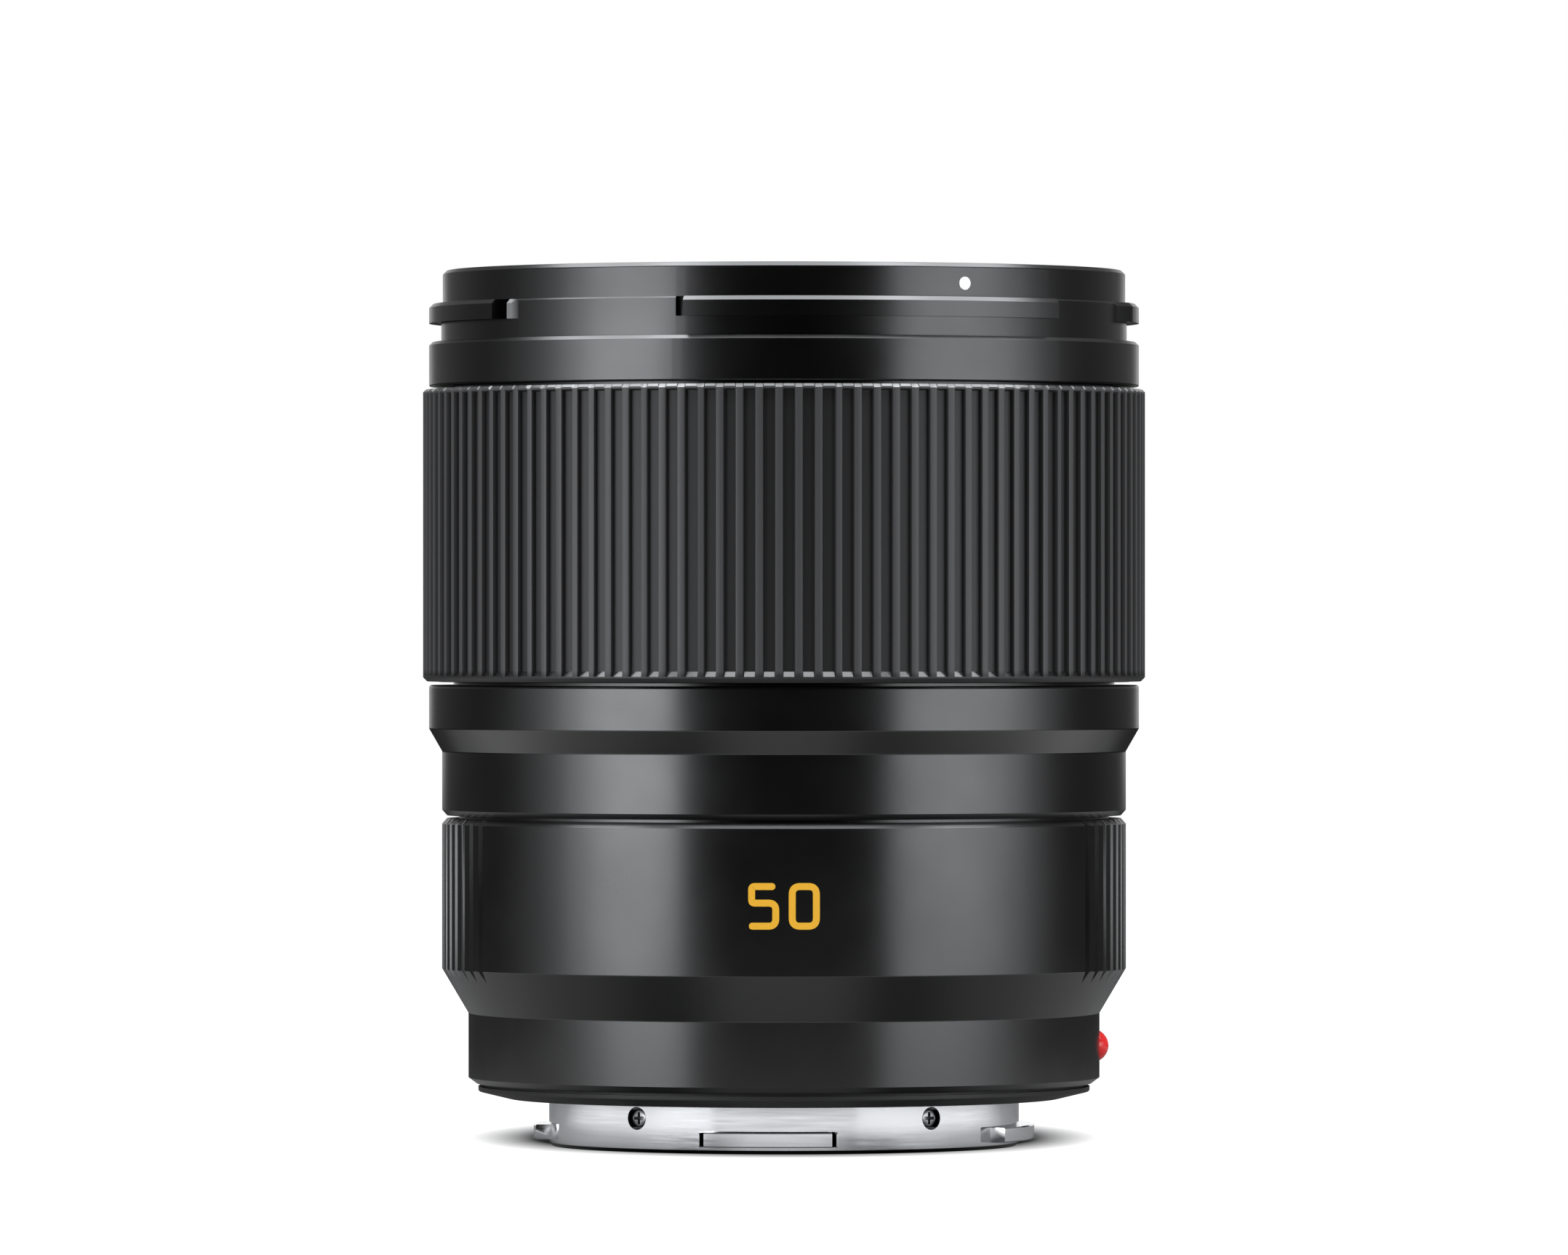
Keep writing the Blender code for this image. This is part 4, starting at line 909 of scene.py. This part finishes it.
def rubber_finish(crest, depth, low):
    """Grip rubber with painted shade and light: darker in the grooves and at the foot, lighter on the rib
    crests, glossy on the ledges.
    """
    material, tree, surface = shader("grip_rubber")
    rise = add_range(tree, add_reach(tree), 0.0, 1.0, (crest - depth) * MM, crest * MM)
    place = tree.nodes.new("ShaderNodeTexCoord")
    split = tree.nodes.new("ShaderNodeSeparateXYZ")
    tree.links.new(place.outputs["Object"], split.inputs["Vector"])
    above = add_range(tree, split.outputs["Z"], 0.0, 1.0, (low + GRIP_FOOT) * MM, (low + 2 * GRIP_FOOT) * MM)
    # Painted shade and light: the colour is darker in the grooves and at the foot, lighter on the rib crests
    crest_lit = add_math(tree, "MULTIPLY", rise, above)
    colour = add_ramp(tree, crest_lit, GRIP_SHADED, GRIP_CREST_LIT, GRIP_CREST_LIT_FROM, GRIP_CREST_LIT_FULL)
    tree.links.new(colour, surface.inputs["Base Color"])
    facing = tree.nodes.new("ShaderNodeNewGeometry")
    upward = tree.nodes.new("ShaderNodeSeparateXYZ")
    tree.links.new(facing.outputs["Normal"], upward.inputs["Vector"])
    tree.links.new(add_range(tree, upward.outputs["Z"], *GRIP_ROUGHNESS, *GRIP_ROUGHNESS_SLOPES),
                   surface.inputs["Roughness"])
    tree.links.new(add_range(tree, upward.outputs["Z"], *GRIP_GLOSS, *GRIP_GLOSS_SLOPES),
                   surface.inputs["Specular IOR Level"])
    surface.inputs["IOR"].default_value = GRIP_IOR
    add_bump(tree, surface, add_noise(tree, GRIP_SCALE), GRIP_BUMP_HEIGHT)
    return material


def steel_finish():
    """Bright turned steel, with painted shade near black at the foot that faces into the camera body."""
    material, tree, surface = shader("turned_steel")
    place = tree.nodes.new("ShaderNodeTexCoord")
    split = tree.nodes.new("ShaderNodeSeparateXYZ")
    tree.links.new(place.outputs["Object"], split.inputs["Vector"])
    # Painted shade: the lowest band of the foot is coloured near black
    height = add_range(tree, split.outputs["Z"], 0.0, 1.0, FOOT_SHADE_LOW, FOOT_SHADE_HIGH)
    tree.links.new(add_ramp(tree, height, FOOT_SHADE_COLOUR, STEEL_COLOUR, 0.0, 1.0), surface.inputs["Base Color"])
    lines = add_noise(tree, STEEL_SCALE, STEEL_STRETCH)
    tree.links.new(add_range(tree, lines, *STEEL_ROUGHNESS), surface.inputs["Roughness"])
    surface.inputs["Metallic"].default_value = 1.0
    add_bump(tree, surface, lines, GRAIN_HEIGHT)
    return material


def glass_finish():
    material, tree, surface = shader("coated_glass")
    surface.inputs["Transmission Weight"].default_value = 1.0
    surface.inputs["IOR"].default_value = GLASS_IOR
    cloud = add_noise(tree, GLASS_SCALE)
    tree.links.new(add_range(tree, cloud, *GLASS_ROUGHNESS), surface.inputs["Roughness"])
    tree.links.new(add_range(tree, cloud, *FILM_THICKNESS), surface.inputs["Thin Film Thickness"])
    tree.links.new(add_ramp(tree, cloud, GLASS_TINT, GLASS_CLEAR), surface.inputs["Base Color"])
    surface.inputs["Thin Film IOR"].default_value = FILM_IOR
    return material


def board_finish():
    """Solder mask with paler tracks."""
    material, tree, surface = shader("board_mask")
    tracks = tree.nodes.new("ShaderNodeTexBrick")
    place = tree.nodes.new("ShaderNodeTexCoord")
    tracks.inputs["Scale"].default_value = TRACK_SCALE
    for socket, colour in TRACK_COLOURS.items():
        tracks.inputs[socket].default_value = colour
    tree.links.new(place.outputs["Object"], tracks.inputs["Vector"])
    tree.links.new(tracks.outputs["Color"], surface.inputs["Base Color"])
    grain = add_noise(tree, BOARD_SCALE)
    tree.links.new(add_range(tree, grain, *BOARD_ROUGHNESS), surface.inputs["Roughness"])
    return material


# Speckled finishes are (name, darker colour, lighter colour, roughness range)
FINISHES = {
    "anodised_black": finish("anodised_black_fine", (0.0007, 0.0007, 0.0008), (0.0016, 0.0016, 0.0017),
                             (0.235, 0.275), ior=1.58),
    "black_plastic": finish("black_plastic_fine", (0.012, 0.012, 0.012), (0.018, 0.018, 0.018), (0.45, 0.55)),
    "steel": steel_finish(),
    "gilt_contact": finish("gilt_fine", (0.72, 0.5, 0.2), (0.82, 0.6, 0.28), (0.22, 0.3), metallic=1.0),
    "brass": finish("brass_fine", (0.55, 0.4, 0.18), (0.65, 0.48, 0.22), (0.28, 0.36), metallic=1.0),
    "red_paint": finish("red_bead_paint", (0.76, 0.018, 0.02), (0.84, 0.024, 0.026), (0.2, 0.26)),
    "glass": glass_finish(),
    "circuit_board": board_finish(),
}
SCREW_STEEL = finish("screw_steel", (0.24, 0.24, 0.25), (0.32, 0.32, 0.33), (0.26, 0.34), metallic=1.0)
SEAL_RUBBER = finish("seal_rubber", (0.006, 0.006, 0.006), (0.010, 0.010, 0.010), (0.5, 0.6))
MATT_BLACK = finish("matt_black_fine", (0.002, 0.002, 0.002), (0.004, 0.004, 0.004), (0.55, 0.65), ior=1.4)
AMBER = finish("amber_marking", (0.78, 0.40, 0.018), (0.84, 0.45, 0.025), (0.4, 0.5))
WHITE = finish("white_marking", (0.93, 0.93, 0.93), (0.98, 0.98, 0.98), (0.4, 0.5))


def dress_front():
    black = FINISHES["anodised_black"]
    edges = [angle for table in LUGS for angle, share in table]
    settle(swept("front_barrel_milled", front_section, even_angles(edges)),
           "lens_body", "anodised_black", black, "front_barrel")
    settle(retainer(), "lens_body", "black_plastic", FINISHES["black_plastic"], "front_retainer")
    index_dot(WHITE)


def dress_focus_ring():
    crest = radius_of("focus_grip")
    settle(swept("focus_grip_ribbed", grip_section, rib_angles()), "focus_ring_body", "rubber",
           rubber_finish(crest, RIB_HEIGHT, low_of("focus_grip")), "focus_grip")
    sleeve = radius_of("focus_ring")
    low = low_of("focus_ring") + SLEEVE_LIFT
    high = high_of("focus_ring")
    settle(turned("focus_sleeve_turned", [
        (SLEEVE_BORE, low, 0.0),
        (sleeve, low, SMALL_ROUND),
        (sleeve, high, SMALL_ROUND),
        (SLEEVE_BORE, high, 0.0),
    ]), "focus_ring_body", "anodised_black", MATT_BLACK, "focus_ring")


def dress_barrels():
    black = FINISHES["anodised_black"]
    shoulder = radius_of("main_barrel")
    barrel = radius_of("rear_barrel")
    low = low_of("main_barrel")
    high = high_of("main_barrel")
    settle(turned("main_barrel_turned", [
        (TUBE_RADIUS, high, 0.0),
        (TUBE_RADIUS, SHOULDER_HIGH, 0.0),
        (shoulder, SHOULDER_HIGH, SHOULDER_ROUND),
        (shoulder, SHOULDER_LOW, EDGE_ROUND),
        (barrel, MID_HIGH, EDGE_ROUND),
        (barrel, GROOVE_HIGH, 0.0),
        (barrel - GROOVE_DEPTH, GROOVE_MIDDLE + GROOVE_SLIT, 0.0),
        (SPIGOT_RADIUS, GROOVE_MIDDLE + GROOVE_SLIT, 0.0),
        (SPIGOT_RADIUS, low, 0.0),
        (LIP_BORE, low, 0.0),
        (LIP_BORE, LIP_HIGH, 0.0),
        (MAIN_BORE, LIP_HIGH, 0.0),
        (MAIN_BORE, IRIS_SEAT, 0.0),
        (TUBE_BORE, IRIS_SEAT, 0.0),
        (TUBE_BORE, high, 0.0),
    ]), "lens_body", "anodised_black", black, "main_barrel")
    settle(swept("rear_barrel_fluted", rear_section, even_angles(flute_angles())),
           "lens_body", "anodised_black", black, "rear_barrel")
    numerals(AMBER)


def dress_mount():
    low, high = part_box("index_bead")
    proud = high[0] / MM
    bead = (high[1] - low[1]) / 2 / MM
    middle = (low[2] + high[2]) / 2 / MM
    rows = [(0.0, low[0] / MM), (bead * BEAD_FOOT, low[0] / MM), (bead, proud - bead)]
    rows += dome_points(bead, proud - bead, bead)[1:]
    settle(radial_turned("index_bead_domed", rows, BEAD_ANGLE, middle), "lens_body", "red_paint",
           FINISHES["red_paint"], "index_bead")
    seal_low = low_of("mount_seal") + SEAL_LIFT
    seal_high = high_of("mount_seal") + REAR_LIFT
    seal = radius_of("mount_seal")
    seat = low_of("rear_barrel") + REAR_LIFT - SEAL_SLIT
    settle(turned("mount_seal_lip", [
        (seal - SEAL_SHOULDER, seat, 0.0),
        (seal - SEAL_SHOULDER, seal_high, 0.0),
        (seal, seal_high, 0.0),
        (seal, seal_high - SEAL_EDGE, EDGE_ROUND),
        (seal - SEAL_WIDTH + SEAL_LIP, seal_low, SEAL_LIP / 3),
        (seal - SEAL_WIDTH, seal_low, SEAL_LIP / 3),
        (seal - SEAL_WIDTH, seat, 0.0),
    ]), "lens_body", "rubber", SEAL_RUBBER, "mount_seal")
    settle(bayonet(), "lens_body", "steel", FINISHES["steel"], "bayonet_mount")
    for number, angle in enumerate(SCREW_ANGLES, 1):
        settle(screw(f"mount_screw_{number}_cross", angle), "lens_body", "steel", SCREW_STEEL,
               f"mount_screw_{number}")
    contact_pins(FINISHES["gilt_contact"])


def dress_glass():
    for node in GLASS_RISES:
        body = "focus_group" if node == "focus_element" else "lens_body"
        settle(lens_element(node), body, "glass", FINISHES["glass"], node)


def dress_inside():
    """Gives the solids that stay their finishes by the record's material slot."""
    slots = {subpart["node"]: subpart["material_slot"] for subpart in frame["record"]["subparts"]}
    for name, node in NODES.items():
        node.data.materials.clear()
        node.data.materials.append(FINISHES.get(slots[name], FINISHES["black_plastic"]))


# Studio, in metres and degrees: each softbox is a row of upright strips as (azimuth, radiance), bright on
# the inner side; overhead boxes are (x, y, z, width, depth, radiance); the shares and turns say how much of
# the floor mirrored rays see, as (distance from the axis, share) and (turn from the camera's side, share),
# and so paint light and shade into the floor that mirrored rays see
CAMERA_DISTANCE = 1.277
CAMERA_HEIGHT = 0.0523
CAMERA_LENS = 289.9
SENSOR_WIDTH = 36.0
STRIP_DISTANCE = 0.36
STRIP_MIDDLE = 0.058
STRIP_WIDTH = 0.0655
STRIP_HEIGHT = 0.112
LAMP_TINT = (0.95, 0.97, 1.0)
SOFTBOX_STRIPS = {
    "softbox_left": ((-39.0, 6.8), (-49.0, 6.8), (-59.0, 6.2), (-69.0, 3.2), (-79.0, 1.1), (-89.0, 0.45),
                     (-99.0, 0.1)),
    "softbox_right": ((40.0, 4.3), (50.0, 4.5), (60.0, 4.5), (70.0, 3.6), (80.0, 2.1), (90.0, 0.7),
                      (100.0, 0.1)),
}
OVERHEAD_BOXES = {
    "overhead_middle": (0.0, -0.12, 0.6, 0.44, 0.46, 6.0),
    "overhead_left": (-0.228, 0.121, 0.57, 0.28, 0.28, 6.5),
    "overhead_right": (0.228, 0.121, 0.57, 0.28, 0.28, 6.5),
    "overhead_front_left": (-0.36, -0.11, 0.5, 0.24, 0.24, 6.0),
    "overhead_front_right": (0.36, -0.11, 0.5, 0.24, 0.24, 6.0),
}
FLOOR_SIZE = 6.0
FLOOR_ROUGHNESS = 0.9
SHEET_COLOUR = (0.11, 0.11, 0.11)
SHEET_EDGE = 0.13
TABLE_COLOUR = (0.02, 0.02, 0.02)
TABLE_EDGE = 0.17
# Painted shadow: an ellipse round this centre, behind the lens, where the floor's glow is dimmed to dark
SHADOW_CENTRE = (0.0, 0.022, 0.0)
SHADOW_SHAPE = (1.0, 0.6, 0.0)
SHADOW_CORE = 0.026
SHADOW_EDGE = 0.033
# Painted light and shade for mirrored rays: the near zones darken the floor at some turns close to the lens,
# the far zones darken it behind the lens
NEAR_SHARES = ((0.03, 0.3), (0.045, 0.45), (0.065, 0.5), (0.085, 0.0))
NEAR_TURNS = ((0.0, 1.0), (0.07, 0.9), (0.14, 0.05), (0.19, 0.05), (0.28, 0.5), (0.45, 0.65), (0.75, 0.15))
FAR_SHARES = ((0.065, 0.0), (0.085, 0.95), (SHEET_EDGE, 0.95), (TABLE_EDGE, 0.0))
FAR_TURNS = ((0.0, 1.0), (0.5, 1.0), (0.58, 0.75), (0.68, 0.15), (0.8, 0.0))
ROOM_GREYS = ((0.0, 0.01), (0.2, 0.03), (0.5, 0.08), (0.9, 0.19), (1.0, 0.21))
AMBIENT = 0.5
PURE_WHITE = (1.0, 1.0, 1.0, 1.0)
BACKDROP_START = 0.97
BACKDROP_FULL = 0.985


def area_lamp(name, place, target, width, height, radiance):
    lamp = bpy.data.lights.new(name, "AREA")
    lamp.shape = "RECTANGLE"
    lamp.size = width
    lamp.size_y = height
    lamp.energy = radiance * math.pi * width * height
    lamp.color = LAMP_TINT
    item = bpy.data.objects.new(name, lamp)
    item.location = place
    item.rotation_euler = (Vector(target) - Vector(place)).to_track_quat("-Z", "Y").to_euler()
    bpy.context.scene.collection.objects.link(item)


def light_studio():
    for name, strips in SOFTBOX_STRIPS.items():
        for number, (azimuth, radiance) in enumerate(strips, 1):
            x, y = along(azimuth)
            area_lamp(f"{name}_{number}", (x * STRIP_DISTANCE, y * STRIP_DISTANCE, STRIP_MIDDLE),
                      (0.0, 0.0, STRIP_MIDDLE), STRIP_WIDTH, STRIP_HEIGHT, radiance)
    for name, (x, y, z, width, depth, radiance) in OVERHEAD_BOXES.items():
        area_lamp(name, (x, y, z), (0.0, 0.0, 0.0), width, depth, radiance)


def add_grey_ramp(tree, source, stops):
    """Ramp through rows of (position, grey)."""
    (first, low), (last, high) = stops[0], stops[-1]
    colour = add_ramp(tree, source, (low,) * 3, (high,) * 3, first, last)
    for position, grey in stops[1:-1]:
        colour.node.color_ramp.elements.new(position).color = (grey, grey, grey, 1.0)
    return colour


def add_math(tree, operation, first, second):
    node = tree.nodes.new("ShaderNodeMath")
    node.operation = operation
    tree.links.new(first, node.inputs[0])
    tree.links.new(second, node.inputs[1])
    return node.outputs["Value"]


def add_zone(tree, reach, shares, turn, turns):
    """Share of the floor that mirrored rays see, by distance and by turn."""
    return add_math(tree, "MULTIPLY", add_grey_ramp(tree, reach, shares), add_grey_ramp(tree, turn, turns))


def add_turn(tree):
    """Turn about the lens axis: 0 towards the camera, 0.5 to either side and 1 behind."""
    place = tree.nodes.new("ShaderNodeTexCoord")
    split = tree.nodes.new("ShaderNodeSeparateXYZ")
    tree.links.new(place.outputs["Object"], split.inputs["Vector"])
    turn = add_math(tree, "ARCTAN2", split.outputs["X"], split.outputs["Y"])
    from_back = tree.nodes.new("ShaderNodeMath")
    from_back.operation = "ABSOLUTE"
    tree.links.new(turn, from_back.inputs[0])
    return add_range(tree, from_back.outputs["Value"], 1.0, 0.0, 0.0, math.pi)


def add_seen(tree, share):
    """How far a ray sees the bare background: camera rays wholly, mirrored and refracted by share."""
    rays = tree.nodes.new("ShaderNodeLightPath")
    mirrored = add_math(tree, "MAXIMUM", rays.outputs["Is Glossy Ray"], rays.outputs["Is Transmission Ray"])
    limited = add_math(tree, "MULTIPLY", mirrored, share)
    return add_math(tree, "MAXIMUM", rays.outputs["Is Camera Ray"], limited)


def light_room():
    """White to the camera and on the backdrop, a dim room elsewhere, an even fill on matt surfaces."""
    world = bpy.data.worlds.new("studio_room")
    bpy.context.scene.world = world
    world.use_nodes = True
    tree = world.node_tree
    background = tree.nodes["Background"]
    place = tree.nodes.new("ShaderNodeTexCoord")
    split = tree.nodes.new("ShaderNodeSeparateXYZ")
    tree.links.new(place.outputs["Generated"], split.inputs["Vector"])
    depth = add_range(tree, split.outputs["Y"], 0.0, 1.0, -1.0, 1.0)
    room = add_grey_ramp(tree, depth, ROOM_GREYS)
    backdrop = add_range(tree, depth, 0.0, 1.0, BACKDROP_START, BACKDROP_FULL)
    seen = add_seen(tree, backdrop)
    rays = tree.nodes.new("ShaderNodeLightPath")
    filled = tree.nodes.new("ShaderNodeMix")
    filled.data_type = "RGBA"
    tree.links.new(rays.outputs["Is Diffuse Ray"], filled.inputs["Factor"])
    tree.links.new(room, filled.inputs["A"])
    filled.inputs["B"].default_value = (AMBIENT, AMBIENT, AMBIENT, 1.0)
    whole = tree.nodes.new("ShaderNodeMix")
    whole.data_type = "RGBA"
    tree.links.new(seen, whole.inputs["Factor"])
    tree.links.new(filled.outputs["Result"], whole.inputs["A"])
    whole.inputs["B"].default_value = PURE_WHITE
    tree.links.new(whole.outputs["Result"], background.inputs["Color"])


def lay_floor():
    """Sheet in a dark table, glowing white to the camera except for a painted shadow behind the lens;
    mirrored rays see painted light and shade by share.
    """
    bm = bmesh.new()
    bmesh.ops.create_grid(bm, x_segments=1, y_segments=1, size=FLOOR_SIZE / 2)
    floor = new_piece("studio_floor", bm)
    material, tree, surface = shader("white_sweep")
    reach = add_reach(tree)
    tint = add_ramp(tree, reach, SHEET_COLOUR, TABLE_COLOUR, SHEET_EDGE, TABLE_EDGE)
    tree.links.new(tint, surface.inputs["Base Color"])
    surface.inputs["Roughness"].default_value = FLOOR_ROUGHNESS
    surface.inputs["Specular IOR Level"].default_value = 0.0
    surface.inputs["Emission Color"].default_value = PURE_WHITE
    # Painted shadow behind the lens: the glow fades to nothing inside the ellipse
    shadow = add_reach(tree, SHADOW_CENTRE, SHADOW_SHAPE)
    shade = add_range(tree, shadow, 0.0, 1.0, SHADOW_CORE, SHADOW_EDGE)
    turn = add_turn(tree)
    # Painted light and shade that mirrored rays see in the floor, by distance and turn
    near = add_zone(tree, reach, NEAR_SHARES, turn, NEAR_TURNS)
    far = add_zone(tree, reach, FAR_SHARES, turn, FAR_TURNS)
    seen = add_seen(tree, add_math(tree, "ADD", near, far))
    tree.links.new(add_math(tree, "MULTIPLY", shade, seen), surface.inputs["Emission Strength"])
    floor.data.materials.append(material)


def set_camera():
    scene = bpy.context.scene
    camera = bpy.data.cameras.new("product_camera")
    camera.sensor_width = SENSOR_WIDTH
    camera.lens = CAMERA_LENS
    item = bpy.data.objects.new("product_camera", camera)
    item.location = (0.0, -CAMERA_DISTANCE, CAMERA_HEIGHT)
    item.rotation_euler = (math.radians(90.0), 0.0, 0.0)
    scene.collection.objects.link(item)
    scene.camera = item
    scene.view_settings.view_transform = "Standard"


dress_front()
dress_focus_ring()
dress_barrels()
dress_mount()
dress_glass()
dress_inside()
light_studio()
light_room()
lay_floor()
set_camera()
